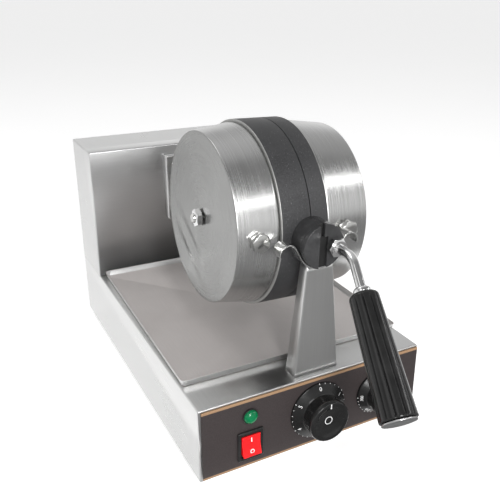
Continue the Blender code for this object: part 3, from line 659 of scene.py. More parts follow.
def pan_screw(name, at, way, radius):
    """A domed screw head with a cross slot, drawn as two near-black bars set into it: painted shade in the slot.
    """
    edge, rise = 0.5 * MM, 1.0 * MM
    turns = [math.radians(turn) for turn in range(0, 91, 15)]
    dome = [(radius * math.sin(turn), edge + rise * math.cos(turn)) for turn in turns]
    dome += [(radius, 0.0), (0.0, 0.0)]
    at = axis_to(at, way)
    piece(name, lathe(dome, 24), "zinc_steel", "base", at=at)
    reach, half, floor, top = radius * 0.55, 0.28 * MM, 1.35 * MM, 1.62 * MM
    # Each arm of the slot is a near-black bar: painted shade.
    for turn, label in ((45, "a"), (135, "b")):
        bar = block((floor, -reach, -half), (top, reach, half))
        spun = at @ rotation(turn, "X")
        piece(f"{name}_slot_{label}", bar, "painted_gap_shade", "base", at=spun)


def upright_pillar():
    """The tapered channel, with soft folds and its top cut round under the cradle."""
    low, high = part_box("upright")
    saddle = HUB.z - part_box("cradle_strip")[0].z + 0.3 * MM
    head = [vert.co for vert in frame["nodes"]["upright"].data.vertices if vert.co.z > high.z - 2 * MM]
    head_half, head_rear = max(abs(v.x - HUB.x) for v in head), max(v.y for v in head)
    foot_half = (high.x - low.x) / 2
    rows, fold = 25, 2.2 * MM
    bm = bmesh.new()
    levels = []
    for row in range(rows):
        share = row / (rows - 1)
        half = foot_half + (head_half - foot_half) * share
        rear = high.y + (head_rear - high.y) * share
        corners = [(-half, rear), (-half, low.y), (half, low.y), (half, rear)]
        level = []
        for x, y in rounded_line(corners, fold, 4, closed=False):
            cap = HUB.z - math.sqrt(max(saddle**2 - x**2, 0.0))
            z = low.z + (min(high.z, cap) - low.z) * share
            level.append(bm.verts.new((HUB.x + x, y, z)))
        levels.append(level)
    for lower, upper in zip(levels, levels[1:]):
        for i in range(len(lower) - 1):
            bm.faces.new((lower[i], lower[i + 1], upper[i + 1], upper[i]))
    mesh = mesh_of("upright_channel", bm)
    if sum(p.normal.y * p.area for p in mesh.polygons) > 0:
        mesh.flip_normals()
    sheet_metal(piece("upright_channel", mesh, "stainless_up", "base", ["upright"]))
    inset = Vector((2 * MM, 2 * MM, 0))
    flange = block(low + inset, (high.x - inset.x, high.y - 0.5 * MM, low.z + 2 * MM))
    bevelled(piece("upright_foot", flange, "stainless_up", "base"), 0.4 * MM, 2)


def tray_pan():
    """The drip tray: a shallow pan with rounded corners and a rolled rim."""
    axis = Vector(JOINTS["drip_tray_slide"]["axis"])
    turn = Matrix.Rotation(math.atan2(axis.y, axis.x), 4, "Z")
    low, high = span("drip_tray", turn)
    centre, half = (low + high) / 2, (high - low) / 2
    gauge, corner, flare, fold = 0.9 * MM, 5 * MM, 1.5 * MM, 1.6 * MM
    outer = [(-fold, low.z), (-0.3 * fold, low.z + 0.3 * fold), (0.0, low.z + fold), (flare, high.z)]
    inner = [(flare - gauge, high.z), (-gauge, low.z + fold + gauge)]
    inner += [(-0.4 * fold - gauge, low.z + 0.3 * fold + gauge), (-fold - gauge, low.z + gauge)]
    bm = bmesh.new()
    rings = []
    for grow, z in outer + inner:
        corners = rectangle(half.x - flare + grow, half.y - flare + grow)
        line = rounded_line(corners, corner + grow, 6)
        rings.append([bm.verts.new((centre.x + a, centre.y + b, z)) for a, b in line])
    join_rings(bm, rings)
    bm.faces.new(rings[0])
    bm.faces.new(rings[-1])
    obj = piece("drip_tray_pan", bm, "tray_steel", "tray_body", ["drip_tray"], turn)
    second_look(obj, "stainless", lambda face: abs(face.normal.z) < 0.7)


def tower_bracket():
    """The shallow folded pan that surrounds the shaft in front of the tower, open to the front."""
    folded_box("tower_bracket", "stainless_up", "rear_bracket", [(0, -1, 0)], 1.2 * MM, 3)
    low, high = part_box("rear_bracket")
    near, far = 0.16, 0.84  # of the way across and up
    for i, (x, z) in enumerate(((near, near), (far, near), (near, far), (far, far))):
        at = (low.x + (high.x - low.x) * x, high.y - SHEET, low.z + (high.z - low.z) * z)
        pan_screw(f"bracket_screw_{i + 1}", at, (0, -1, 0), 2.6 * MM)


# ---------------------------------------------------------------- the iron


def dished(y, z, radius):
    """How far a cover's disc leaves its plane: slow oil-canning and a fan of ripples low at the rear."""
    dent_height, ripple_height = 0.22, 0.62
    dent = dent_height * math.sin(y * 31.0 + 0.6) * math.cos(z * 27.0 - 0.4)
    along = (y * 0.80 + z * 0.60) / MM
    across = (-y * 0.60 + z * 0.80) / MM
    cover = math.exp(-(((along + 2.0) / 34.0) ** 2) - ((across + 52.0) / 22.0) ** 2)
    ripple = ripple_height * cover * math.sin(across * 0.26 + along * 0.03)
    edge = max(0.0, 1.0 - (math.hypot(y, z) / radius) ** 6)
    # The two heights are added, so that the disc stays behind its plane.
    return (dent_height + ripple_height + dent + ripple) * edge * MM


def cover_cup(name, node, body, way):
    """A thin spun cup over the element: a disc with soft dents, a tight fold and a side that widens."""
    low, high = span(node)
    end, mouth = (high.x, low.x) if way > 0 else (low.x, high.x)
    hole, gauge, fold = 5.4 * MM, 1.0 * MM, 1.1 * MM
    radius = (high.y - low.y) / 2 + COVER_DISC_EXTRA
    disc_r, side_end = radius - fold, end - way * fold
    around, across, down = 180, 34, 14
    profile = [(hole + (disc_r - hole) * i / across, end) for i in range(across + 1)]
    for turn in range(18, 91, 18):
        sine, cosine = math.sin(math.radians(turn)), math.cos(math.radians(turn))
        profile.append((disc_r + fold * sine, end - way * fold * (1 - cosine)))
    for i in range(1, down + 1):
        profile.append((radius + COVER_CONE * i / down, side_end + (mouth - side_end) * i / down))
    bm = bmesh.new()
    rings = []
    for r, x in profile:
        ring = []
        for y, z in circle(r, around):
            sink = dished(y, z, disc_r) if r < disc_r + 1e-6 else 0.0
            ring.append(bm.verts.new((x - way * sink, y, z)))
        rings.append(ring)
    join_rings(bm, rings)
    mesh = mesh_of(name, bm)
    cup = piece(name, mesh, "polished_cover", body, [node], IRON, smooth=45)
    # The flat disc takes the darker steel: painted shade.
    second_look(cup, "shaded_cover_disc", lambda face: abs(face.normal.x) > 0.7)
    outward = sum(p.normal.x * p.area * way for p in mesh.polygons) > 0
    sheet_metal(cup, gauge, -1.0 if outward else 1.0)


def cast_plate(name, node, body, way, look):
    """A cast plate: rim, recess, rounded edges and a grid of pads on its cooking face."""
    low, high = span(node)
    radius, back = high.z, high.x if way > 0 else low.x
    seam, inner, wall_r = way * 0.4 * MM, way * 15.0 * MM, radius - 11 * MM
    recess = seam + way * 1.8 * MM
    profile = [(0.0, inner), (wall_r, inner), (wall_r, back), (radius, back), (radius, seam)]
    profile += [(radius - 8 * MM, seam), (radius - 9.5 * MM, recess), (0.0, recess)]
    corners = [r * MM for r in (0, 1.0, 0.5, 0.9, 0.7, 0.5, 0.4, 0)]
    line = rounded_line(profile, corners, 4, closed=False)
    piece(name, lathe(line, 180), look, body, [node], IRON, smooth=40)
    waffle_grid(name + "_grid", body, look, recess, way, radius - 13 * MM)


def waffle_grid(name, body, look, recess, way, reach):
    """Low pads with sloping sides in a square grid, turned 45 degrees, on the recessed face."""
    pitch, foot, top, height, sunk = 7.0 * MM, 3.05 * MM, 2.3 * MM, 1.0 * MM, 0.2 * MM
    count = int(reach / pitch) + 1
    turn = rotation(45, "X")
    bm = bmesh.new()
    for i in range(-count, count + 1):
        for j in range(-count, count + 1):
            y, z = i * pitch, j * pitch
            if math.hypot(y, z) > reach - foot:
                continue
            pad = []
            for x, half in ((recess + way * sunk, foot), (recess - way * height, top)):
                corners = [turn @ Vector((x, y + a, z + b)) for a, b in rectangle(half, half)]
                pad.append([bm.verts.new(corner) for corner in corners])
            join_rings(bm, pad)
            for ring in pad:
                bm.faces.new(ring)
    piece(name, bm, look, body, at=IRON, smooth=20)


def lug(name):
    """The upper plate's lug and eye on the hinge pin."""
    pin = middle("hinge_pin")
    eye_r, half, right, foot = 6.5 * MM, 13.8 * MM, 8.5 * MM, pin.y - 14 * MM
    outline = [(1.0 * MM, foot), (right, foot), (right, pin.y - 1.0 * MM)]
    outline += [(x, pin.y + y) for x, y in arc(eye_r, 0, 180, 12)]
    outline += [(-eye_r, pin.y - 2.0 * MM), (-2.0 * MM, pin.y - 6.0 * MM)]
    bm = slab(outline, pin.z - half, pin.z + half, (0, 1, 2))
    obj = piece(name, bm, "coated_cast_upper", "upper_half", at=IRON, smooth=30)
    bevelled(obj, 0.6 * MM, 2)


def meeting(radius, x=None, z=None):
    """The angle in degrees at which a circle crosses x or z, in its upper right quarter."""
    return math.degrees(math.acos(x / radius) if x is not None else math.asin(z / radius))


def hub_halves():
    """The split hub: a round black casting with a groove down its face, and its flange on the rims."""
    low, high = span("lower_hub")
    seat_front = span("upper_hub")[0].y
    radius, slab_rear = (high.z - low.z) / 2, low.y + 6.2 * MM
    rims = span("lower_plate")[1].z + 0.3 * MM
    split_x, split_z, quarter_x = 3.0 * MM, 9.5 * MM, 0.2 * MM
    journal_x, journal_z = -quarter_x, split_z - 0.5 * MM
    seat_x, seat_z = split_x + 1.5 * MM, split_z + 2 * MM

    # Lower half: the front slab left of the groove, and the journal behind it.
    turn = meeting(radius, x=split_x + 2.5 * MM)
    face = [(-a, b) for a, b in arc(radius, -turn, turn, 56)]
    hub_slab("hub_face_lower", "lower", face, low.y, slab_rear, 1.3 * MM)
    turn = meeting(radius, x=quarter_x)
    journal = arc(radius, 180 - turn, 360 + meeting(radius, z=journal_z), 84) + [(journal_x, journal_z)]
    made = hub_body("hub_journal", "lower", journal, slab_rear - 0.4 * MM, rims)
    # The journal's face at the bottom of the groove is painted near black: painted shade.
    second_look(made, "painted_gap_shade", lambda face: face.normal.y < -0.9)

    # Upper half: the last quarter, and the handle's seat in front of the cradle.
    quarter = arc(radius, meeting(radius, z=split_z), turn, 24) + [(quarter_x, split_z)]
    hub_body("hub_quarter", "upper", quarter, seat_front, rims)
    seat = arc(radius, -meeting(radius, x=seat_x), meeting(radius, z=seat_z), 48) + [(seat_x, seat_z)]
    hub_slab("hub_seat_upper", "upper", seat, seat_front + 0.05 * MM, seat_front + 3.0 * MM, 0.7 * MM)


def hub_slab(name, half, outline, low, high, fold):
    """A flat length of the hub with rounded edges."""
    bm = slab(outline, low, high, (0, 2, 1))
    obj = piece(name, bm, "black_hub", half + "_half", [half + "_hub"], IRON, smooth=30)
    return bevelled(obj, fold, 4, 40)


def hub_body(name, half, outline, front, rims):
    """A length of the hub whose rear follows the round rims of the plates."""
    bm = bmesh.new()
    near = [bm.verts.new((x, front, z)) for x, z in outline]
    far = [bm.verts.new((x, -math.sqrt(rims**2 - z**2), z)) for x, z in outline]
    closed_by_ends(bm, [near, far])
    obj = piece(name, bm, "black_hub", half + "_half", [half + "_hub"], IRON, smooth=30)
    return bevelled(obj, 0.6 * MM, 3, 40)


def fasteners():
    """Nuts and bolts on the iron, with chamfers and visible threads."""
    for half, body, way in (("lower", "lower_half", -1), ("upper", "upper_half", 1)):
        node = half + "_cover_nut"
        low, high = span(node)
        centre = (low + high) / 2
        seat = low.x if way > 0 else high.x
        nut = hexagon(high.y - low.y, high.x - low.x, STUD_R)
        at = on_iron((seat, centre.y, centre.z), (way, 0, 0))
        piece(half + "_hex_nut", nut, "chrome", body, [node], at)
        low, high = span(half + "_cover_stud")
        root = (high.x if way > 0 else low.x) - way * STUD_THREAD
        at = on_iron((root, centre.y, centre.z), (way, 0, 0))
        thread = lathe(thread_profile(STUD_R, STUD_THREAD), 48)
        piece(half + "_stud_thread", thread, "zinc_steel", body, at=at)
        inner = min(abs(low.x), abs(high.x))
        core_r, length = 4.6 * MM, abs(root) - inner + 1 * MM
        core = lathe([(0.0, 0.0), (core_r, 0.0), (core_r, length), (0.0, length)], 32)
        at = on_iron((way * inner, centre.y, centre.z), (way, 0, 0))
        piece(half + "_stud_core", core, "zinc_steel", body, [half + "_cover_stud"], at)
        stop_bolt(half, body)


def stop_bolt(half, body):
    """A stop bolt with its lock nut, square to the cover's side."""
    low, high = span(half + "_stop_bolt")
    centre = (low + high) / 2
    seat = (centre.x, low.y + BOLT_HEAD, centre.z)
    turned = on_iron(seat, (0, -1, 0)) @ rotation(14, "X")
    head = hexagon(high.x - low.x, BOLT_HEAD)
    piece(half + "_bolt_head", head, "zinc_steel", body, [half + "_stop_bolt"], turned)
    shank = lathe(thread_profile(4.9 * MM, high.y - seat[1]), 48)
    at = on_iron(seat, (0, 1, 0))
    piece(half + "_bolt_shank", shank, "zinc_steel", body, at=at)
    low, high = span(half + "_stop_nut")
    nut = hexagon(high.x - low.x, high.y - low.y, STUD_R)
    at = on_iron((centre.x, low.y, centre.z), (0, 1, 0))
    piece(half + "_lock_nut", nut, "zinc_steel", body, [half + "_stop_nut"], at)


def strip_line():
    """The cradle strip's upper side, from the turning axis: an arch, a straight run, the cup, and back."""
    arch = [(STRIP_ARCH_AT[0] + x, STRIP_ARCH_AT[1] + z) for x, z in arc(STRIP_ARCH_R, -18, 150, 28)]
    points = [(-x, z) for x, z in arch] + arc(CUP_R, 199, 341, 60) + list(reversed(arch))
    return [Vector(point) for point in points]


def cradle():
    """The spring strip under the hub: one band of even gauge, its right wing narrower."""
    low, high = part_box("cradle_strip")
    line = strip_line()
    bm = bmesh.new()
    rows = []
    for i, here in enumerate(line):
        before, after = line[max(i - 1, 0)], line[min(i + 1, len(line) - 1)]
        way = (after - before).normalized()
        under = here + Vector((way.y, -way.x)) * STRIP_GAUGE
        front = low.y + (STRIP_RELIEF if here.x > STRIP_RELIEF_X else 0.0)
        corners = ((here, front), (here, high.y), (under, high.y), (under, front))
        rows.append([bm.verts.new((HUB.x + p.x, y, HUB.z + p.y)) for p, y in corners])
    closed_by_ends(bm, rows)
    obj = piece("spring_strip", bm, "spring_strip", "base", ["cradle_strip"], smooth=30)
    bevelled(obj, 0.35 * MM, 2, 50)


def rear_works():
    """The yoke's pin behind the iron, and the shaft that turns in the tower."""
    low, high = span("hinge_pin")
    centre, length = (low + high) / 2, high.z - low.z
    pin_r, chamfer = 3.0 * MM, (0.4 * MM, 0.5 * MM)
    pin = [(0.0, 0.0), (pin_r - chamfer[0], 0.0), (pin_r, chamfer[1])]
    pin += [(r, length - along) for r, along in reversed(pin)]
    at = on_iron((centre.x, centre.y, low.z), (0, 0, 1))
    piece("hinge_pin_rod", lathe(pin, 48), "chrome", "lower_half", ["hinge_pin"], at)
    low, high = span("pivot_shaft")
    radius, length, chamfer = (high.x - low.x) / 2, high.y - low.y, 1 * MM
    shaft = [(0.0, 0.0), (radius, 0.0), (radius, length - chamfer), (radius - chamfer, length), (0.0, length)]
    at = on_iron((0, low.y, 0), (0, 1, 0))
    piece("turning_shaft", lathe(shaft, 64), "zinc_steel", "lower_half", ["pivot_shaft"], at)


# ---------------------------------------------------------------- handle


def handle():
    """The bent rod with its lock nut, the ferrule and the fluted grip."""
    low, high = span("handle_nut")
    seat = Vector(((low.x + high.x) / 2, high.y, (low.z + high.z) / 2))
    top, down, length = grip_axis(middle("handle_end_cap"))
    nut = hexagon(high.x - low.x, high.y - low.y, 4.9 * MM)
    at = on_iron(seat, (0, -1, 0)) @ rotation(30, "X")
    piece("rod_lock_nut", nut, "chrome", "upper_half", ["handle_nut"], at)
    bend = bend_line(seat, closest(seat, Vector((0, -1, 0)), top, down), top, down)
    tube_piece("handle_bar", bend, 4.75 * MM, "chrome", "upper_half", ["handle_rod"], IRON, 10)
    thread = lathe(thread_profile(5.0 * MM, 13.0 * MM), 48)
    at = on_iron(seat + Vector((0, 1 * MM, 0)), (0, -1, 0))
    piece("rod_thread", thread, "chrome", "upper_half", at=at)
    ring = mm((5.0, 0.0), (8.4, 0.0), (8.4, 3.2), (7.2, 5.0), (5.0, 5.0))
    collar = rounded_line(ring, [r * MM for r in (0, 0.5, 0.8, 0.8, 0)], 3)
    at = on_iron(top - down * 0.3 * MM, -down)
    piece("grip_collar", lathe(collar, 64), "chrome", "upper_half", ["handle_ferrule"], at)
    fluted_grip(top, down, length)
    low, high = span("handle_end_cap", on_iron(top, down))
    rim = high.y
    disc = [(0.0, 1.7 * MM), (rim - 3.0 * MM, 2.2 * MM), (rim, 1.6 * MM), (rim, 0.0), (0.0, 0.0)]
    disc = rounded_line(disc, [r * MM for r in (0, 1.0, 0.6, 0.2, 0)], 3, closed=False)
    at = on_iron(top + down * low.x, down)
    piece("grip_end_cap", lathe(disc, 96), "cap_metal", "upper_half", ["handle_end_cap"], at)


def grip_axis(cap):
    """The grip's top, direction and length, from the middles of its ferrule and end cap."""
    ferrule = middle("handle_ferrule")
    down = (cap - ferrule).normalized()
    top = ferrule + down * 2.8 * MM
    return top, down, (cap - top).length - 1.4 * MM


def closest(p, u, q, v):
    """The point on the line p + u nearest to the line q + v."""
    w, b = p - q, u.dot(v)
    return p + u * ((b * v.dot(w) - u.dot(w)) / (1 - b * b))


def bend_line(seat, corner, top, down):
    """The rod's middle line: straight out of the seat, round the bend and on into the grip."""
    reach = 9.5 * MM
    first = corner + (seat - corner).normalized() * reach
    last = corner + (top - corner).normalized() * reach
    start = [seat + Vector((0, 2.5 * MM, 0)), seat]
    return start + bent(first, corner, last, 16) + [top + down * 11 * MM]


def fluted_grip(top, down, length):
    """A tapered grip with broad ribs between narrow grooves, which fade out at both its ends."""
    ribs, sides, rows = 12, 360, 70
    groove, groove_half, crown = 1.15 * MM, 0.26, 0.30 * MM
    at = on_iron(top, down)
    end_r = max(math.hypot(p.y, p.z) for p in corners_of("handle_grip", at))
    taper = 13.75 / 17.1
    top_r = end_r * taper
    shoulder, edge, fade_in, fade_out = 4.5 * MM, 1.2 * MM, 9 * MM, 2.5 * MM
    bm = bmesh.new()
    rings = []
    for row in range(rows + 1):
        along = length * (0.5 - 0.5 * math.cos(math.pi * row / rows))
        radius = top_r + (end_r - top_r) * along / length
        if along < shoulder:
            radius -= shoulder * (1 - math.sqrt(1 - (1 - along / shoulder) ** 2))
        if along > length - edge:
            radius -= edge * (1 - math.sqrt(max(0.0, 1 - ((along - length + edge) / edge) ** 2))) * 0.8
        fade = max(0.0, min(1.0, along / fade_in, (length - along) / fade_out))
        ring = []
        for i in range(sides):
            turn = 2 * math.pi * i / sides
            away = abs((turn * ribs / math.pi + 1) % 2 - 1)
            dip = crown * (1 - away) ** 2
            if away < groove_half:
                dip += groove * (0.5 + 0.5 * math.cos(math.pi * away / groove_half))
            reach = radius - dip * fade
            ring.append(bm.verts.new((along, reach * math.cos(turn), reach * math.sin(turn))))
        rings.append(ring)
    closed_by_ends(bm, rings)
    piece("fluted_grip", bm, "black_phenolic", "upper_half", ["handle_grip"], at, smooth=70)


# ---------------------------------------------------------------- controls


def control_knob(name, node, body, numbers, sweep):
    """A knob with a numbered conical skirt, a plain cylinder and a dished face with a pointer line."""
    low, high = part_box(node)
    centre = (low + high) / 2
    foot = Vector((centre.x, high.y + 0.3 * MM, centre.z))
    skirt, tall = (high.x - low.x) / 2, foot.y - low.y
    cap = skirt * 23.0 / 32.0
    neck = cap * 0.93
    slope = (cap + 0.8 * MM, tall * 0.25), (skirt - 0.3 * MM, 2.4 * MM)
    profile = [
        (0.0, tall - 4.3 * MM),
        (cap * 0.34, tall - 4.0 * MM),
        (cap * 0.64, tall - 2.0 * MM),
        (cap * 0.80, tall),
        (cap * 0.95, tall - 0.4 * MM),
        (cap, tall - 4.0 * MM),
        (neck, tall - 11.0 * MM),
        (neck, tall * 0.30),
        *slope,
        (skirt, 0.3 * MM),
        (0.0, 0.3 * MM),
    ]
    corners = [r * MM for r in (0, 5, 5, 3.4, 3, 4, 4, 1, 0.8, 0.6, 0.3, 0)]
    line = rounded_line(profile, corners, 6, closed=False)
    at = axis_to(foot, (0, -1, 0))
    piece(name, lathe(line, 160), "knob_phenolic", body, [node], at, smooth=50)
    dial(name, body, foot, slope, numbers, sweep)
    mark = block((tall - 2.4 * MM, -0.5 * MM, cap * 0.70), (tall - 0.1 * MM, 0.5 * MM, cap * 0.93))
    piece(name + "_pointer", mark, "white_print", body, at=at)
    ring = [(r, tall + along) for r, along in mm((3.7, -4.6), (4.4, -4.6), (4.4, -3.95), (3.7, -3.95))]
    piece(name + "_ring", lathe(ring, 48), "white_print", body, at=at)


def dial(name, body, foot, slope, numbers, sweep):
    """Ticks and plain numbers on the knob's skirt, from the top round clockwise."""
    (top_r, top_h), (rim_r, rim_h) = slope
    lean = math.atan2(top_h - rim_h, rim_r - top_r)
    per_number, digits = 5, 0.74 * (rim_r - top_r)

    def on_skirt(turn, share):
        """A frame on the skirt: its X points round, Y points inwards up the slope, Z out of it."""
        radius = rim_r + (top_r - rim_r) * share
        height = rim_h + (top_h - rim_h) * share
        spot = Matrix.Translation(foot) @ rotation(turn, "Y") @ Matrix.Translation((0, -height, radius))
        return spot @ Matrix.Rotation(math.pi / 2 - lean, 4, "X") @ Matrix.Translation((0, 0, 0.10 * MM))

    ticks = bmesh.new()
    steps = (len(numbers) - 1) * per_number
    for i in range(steps + 1):
        reach = (1.4 if i % per_number == 0 else 0.8) * MM
        bm = block((-0.30 * MM, 0.0, -0.25 * MM), (0.30 * MM, reach, 0.06 * MM))
        bm.transform(on_skirt(sweep * i / steps, 0.10))
        mesh = bpy.data.meshes.new("tick")
        bm.to_mesh(mesh)
        bm.free()
        ticks.from_mesh(mesh)
        bpy.data.meshes.remove(mesh)
    piece(name + "_ticks", ticks, "white_print", body, smooth=0)
    for i, number in enumerate(numbers):
        label = f"{name}_number_{i + 1}"
        text = bpy.data.curves.new(label, "FONT")
        text.body = str(number)
        text.size = digits
        text.align_x, text.align_y = "CENTER", "CENTER"
        text.extrude = 0.08 * MM
        at = on_skirt(sweep * i / (len(numbers) - 1), 0.62)
        enlist(add(label, text, "white_print", at), body)


def rocker_switch():
    """The switch's bezel and its red rocker, which has a painted glow, with a bar and a ring on it."""
    low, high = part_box("switch_housing")
    centre = (low + high) / 2
    outer, inner = ((high.x - low.x) / 2, (high.z - low.z) / 2), (10.5 * MM, 13.1 * MM)
    wide, tight = 1.2 * MM, 0.6 * MM
    bm = bmesh.new()
    rings = []
    for (x, z), grow, behind, corner in (
        (outer, 0.0, 2.3 * MM, wide),
        (outer, 0.0, 0.7 * MM, wide),
        (outer, -0.8 * MM, 0.0, wide),
        (inner, 0.5 * MM, 0.0, tight),
        (inner, 0.0, 0.5 * MM, tight),
        (inner, 0.0, 15 * MM, tight),
    ):
        line = rounded_line(rectangle(x + grow, z + grow), corner, 5)
        rings.append([bm.verts.new((centre.x + a, low.y + behind, centre.z + b)) for a, b in line])
    join_rings(bm, rings)
    bm.faces.new(rings[-1])
    piece("switch_bezel", bm, "switch_plastic", "base", ["switch_housing"])

    pivot = Matrix.Translation(JOINTS["switch_rocker_tilt"]["pos_m"]) @ rotation(-8, "X")
    nose, valley, half, half_wide = -8.2 * MM, -6.4 * MM, 11.6 * MM, 10.0 * MM
    shares = [-1 + i / 8 for i in range(17)]
    outline = [(valley + (nose - valley) * abs(share) ** 1.6, half * share) for share in shares]
    outline += arc(8.0 * MM, 60, -60, 10)
    bm = slab(outline, -half_wide, half_wide, (1, 2, 0))
    cap = piece("rocker_cap", bm, "red_rocker", "rocker_body", ["switch_rocker"], pivot, smooth=30)
    bevelled(cap, 0.7 * MM, 3, 40)
    bar = block((-0.5 * MM, -7.55 * MM, 4.2 * MM), (0.5 * MM, -6.5 * MM, 8.6 * MM))
    piece("rocker_bar", bar, "white_print", "rocker_body", at=pivot)
    ring = lathe(mm((1.5, 0.0), (2.3, 0.0), (2.3, 0.9), (1.5, 0.9)), 48)
    spot = pivot @ axis_to((0, -6.75 * MM, -6.2 * MM), (0, -1, -0.12))
    piece("rocker_ring", ring, "white_print", "rocker_body", at=spot)


def pilot_lamp():
    """A ribbed green dome in a thin black ring."""
    low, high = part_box("pilot_lamp_lens")
    centre = (low + high) / 2
    radius, tall, foot = (high.x - low.x) / 2, high.y - low.y, 1.0 * MM
    dome_r, inner_r = radius - 0.9 * MM, radius - 1.0 * MM
    at = axis_to((centre.x, high.y, centre.z), (0, -1, 0))
    steps = 14
    dome = [(0.0, tall)]
    for step in range(1, steps + 1):
        turn = math.radians(step * 90 / steps)
        rib = 0.12 * MM * math.sin(step * 2.4)
        dome.append((dome_r * math.sin(turn), foot + (tall - foot) * math.cos(turn) + rib))
    dome += [(dome_r, 0.0), (0.0, 0.0)]
    piece("lamp_dome", lathe(dome, 64), "green_lens", "base", ["pilot_lamp_lens"], at)
    ring = [(inner_r, 0.0), (radius, 0.0), (radius, 1.0 * MM)]
    ring += [(radius - 0.4 * MM, 1.7 * MM), (inner_r, 1.4 * MM)]
    ring = lathe(rounded_line(ring, 0.3 * MM, 2), 64)
    piece("lamp_ring", ring, "switch_plastic", "base", at=at)


def panel_plate():
    plate = block(*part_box("control_panel"))
    bevelled(piece("panel_face", plate, "panel_overlay", "base", ["control_panel"]), 0.3 * MM, 2)


# ---------------------------------------------------------------- everything else


def dress_remaining():
    """Materials and smooth shading for the CAD nodes whose shapes are right as they are."""
    special = {"upper_plate": "coated_cast_upper"}
    for name, obj in frame["nodes"].items():
        mesh = obj.data
        mesh.materials.clear()
        mesh.materials.append(LOOKS[special.get(name, SLOT_OF[name])].material)
        if "custom_normal" in mesh.attributes:
            mesh.attributes.remove(mesh.attributes["custom_normal"])
        mesh.shade_smooth()
        weld = obj.modifiers.new("weld", "WELD")
        weld.merge_threshold = 0.01 * MM
        split = obj.modifiers.new("creases", "EDGE_SPLIT")
        split.split_angle = math.radians(32)


def paper(name, grey, mottle, roughness, **values):
    """A matt, faintly mottled paper for the studio."""
    made = Look(name, (grey,) * 3, 0.0, roughness, **values)
    clouds = made.noise(made.place(), 3.0, 2.0)
    made.set("Base Color", made.tone(clouds, (grey - mottle,) * 3, (grey + mottle,) * 3))
    return made.material


def studio():
    """A pale floor, an even sky with a darker front, and soft lights."""
    bpy.ops.mesh.primitive_plane_add(size=60.0, location=(0, 0, -0.0005))
    floor = bpy.context.object
    floor.name = "floor"
    glow = {"Emission_Color": (1.0, 1.0, 1.0, 1.0), "Emission_Strength": 0.42}
    floor.data.materials.append(paper("floor_paper", 0.90, 0.005, 0.85, **glow))
    front_card()
    sky()
    aim_at = Vector(HUB)
    area("band_light", aim_at + Vector((0.46, -0.725, 0.517)) * 1.6, aim_at, (2.4, 0.13), 7.5)
    area("key_light", Vector((-1.5, -0.9, 1.7)), aim_at, (1.2, 1.2), 5.2)
    area("top_light", Vector((-0.7, 0.8, 2.0)), aim_at, (1.2, 1.0), 7.0)
    area("gloss_light", aim_at + Vector((-0.30, -1.25, 0.55)), aim_at, (0.22, 0.9), 13.0)


def sky():
    """The world: a product of grey ramps along Y, Z and X, with a bright band below the horizon."""
    world = bpy.data.worlds.new("studio")
    bpy.context.scene.world = world
    world.use_nodes = True
    made = Nodes(world.node_tree)
    place = made.node("ShaderNodeTexCoord").outputs["Generated"]
    axes = made.node("ShaderNodeSeparateXYZ", [place]).outputs
    shares = [made.node("ShaderNodeMapRange", {"Value": way, "From Min": -1.0}).outputs[0] for way in axes]
    product = None
    for axis, stops in (
        (1, ((0.0, 0.30), (0.38, 0.34), (0.55, 0.80), (0.75, 1.0))),
        (2, ((0.0, 1.0), (0.62, 1.0), (0.80, 0.55), (1.0, 0.75))),
        (0, ((0.0, 0.62), (0.30, 0.85), (0.5, 1.0), (1.0, 1.0))),
    ):
        ramp = made.node("ShaderNodeValToRGB", [shares[axis]])
        ramp.color_ramp.interpolation = "EASE"
        elements = ramp.color_ramp.elements
        while len(elements) < len(stops):
            elements.new(0.5)
        for element, (at, value) in zip(elements, stops):
            element.position = at
            element.color = (value, value, value, 1.0)
        colour = ramp.outputs["Color"]
        product = colour if product is None else made.math("MULTIPLY", product, colour)
    horizon = made.node("ShaderNodeValToRGB", [shares[2]])
    elements = horizon.color_ramp.elements
    bright, black = (0.92, 0.92, 0.92, 1.0), (0.0, 0.0, 0.0, 1.0)
    elements.new(0.62).color = bright
    elements.new(0.74).color = black
    elements[0].color, elements[-1].color = bright, black
    background = world.node_tree.nodes["Background"]
    strength = made.math("MAXIMUM", product, horizon.outputs["Color"])
    made.fill(background.inputs["Strength"], strength)
    made.fill(background.inputs["Color"], (1.0, 1.0, 1.0))


def front_card():
    """A grey card on the floor ahead of the object.  Only reflections see it, as if from a worktop."""
    bpy.ops.mesh.primitive_plane_add(size=1.0, location=(0.45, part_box("base_shell")[0].y - 0.92, 0.0))
    card = bpy.context.object
    card.name = "front_card"
    card.scale = (2.6, 1.8, 1.0)
    card.data.materials.append(paper("card_paper", 0.26, 0.03, 0.9))
    card.visible_camera = card.visible_diffuse = card.visible_shadow = False


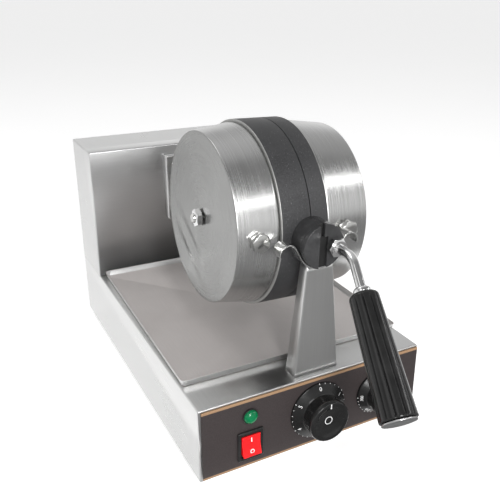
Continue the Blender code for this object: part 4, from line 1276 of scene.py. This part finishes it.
def area(name, at, to, size, watts):
    data = bpy.data.lights.new(name, "AREA")
    data.shape = "RECTANGLE"
    data.size, data.size_y = size
    data.energy = watts
    obj = bpy.data.objects.new(name, data)
    bpy.context.scene.collection.objects.link(obj)
    obj.location = at
    obj.rotation_euler = (to - at).to_track_quat("-Z", "Y").to_euler()


def camera():
    """The camera stands to the left in front of the object and above it."""
    around, above, roll = math.radians(29.46), math.radians(21.59), math.radians(0.83)
    level = math.cos(above)
    forward = Vector((math.sin(around) * level, math.cos(around) * level, -math.sin(above)))
    right = forward.cross(Vector((0, 0, 1))).normalized()
    up = right.cross(forward)
    right_rolled = right * math.cos(roll) + up * math.sin(roll)
    up_rolled = up * math.cos(roll) - right * math.sin(roll)
    data = bpy.data.cameras.new("camera")
    data.sensor_width = 36.0
    data.lens = 48.13
    data.shift_x, data.shift_y = -0.062, -0.0242
    data.dof.use_dof = False
    data.clip_start, data.clip_end = 0.01, 100.0
    obj = bpy.data.objects.new("camera", data)
    bpy.context.scene.collection.objects.link(obj)
    turn = Matrix((right_rolled, up_rolled, -forward)).transposed().to_4x4()
    lens_at = Vector((-0.3172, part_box("base_shell")[0].y - 0.4833, 0.4671))
    obj.matrix_world = Matrix.Translation(lens_at) @ turn
    bpy.context.scene.camera = obj


def main():
    camera()
    studio()
    dress_remaining()
    base_and_tower()
    tower_bracket()
    upright_pillar()
    tray_pan()
    cover_cup("lower_cover_cup", "lower_cover", "lower_half", -1)
    cover_cup("upper_cover_cup", "upper_cover", "upper_half", 1)
    cast_plate("lower_cast_plate", "lower_plate", "lower_half", -1, "coated_cast")
    cast_plate("upper_cast_plate", "upper_plate", "upper_half", 1, "coated_cast_upper")
    lug("upper_hinge_lug")
    hub_halves()
    fasteners()
    cradle()
    rear_works()
    handle()
    panel_plate()
    control_knob("timer_dial_knob", "timer_knob", "timer_knob_body", range(6), 300)
    control_knob("heat_dial_knob", "thermostat_knob", "thermostat_knob_body", range(50, 301, 50), 270)
    rocker_switch()
    pilot_lamp()
    bpy.context.scene.view_settings.view_transform = "Standard"


main()
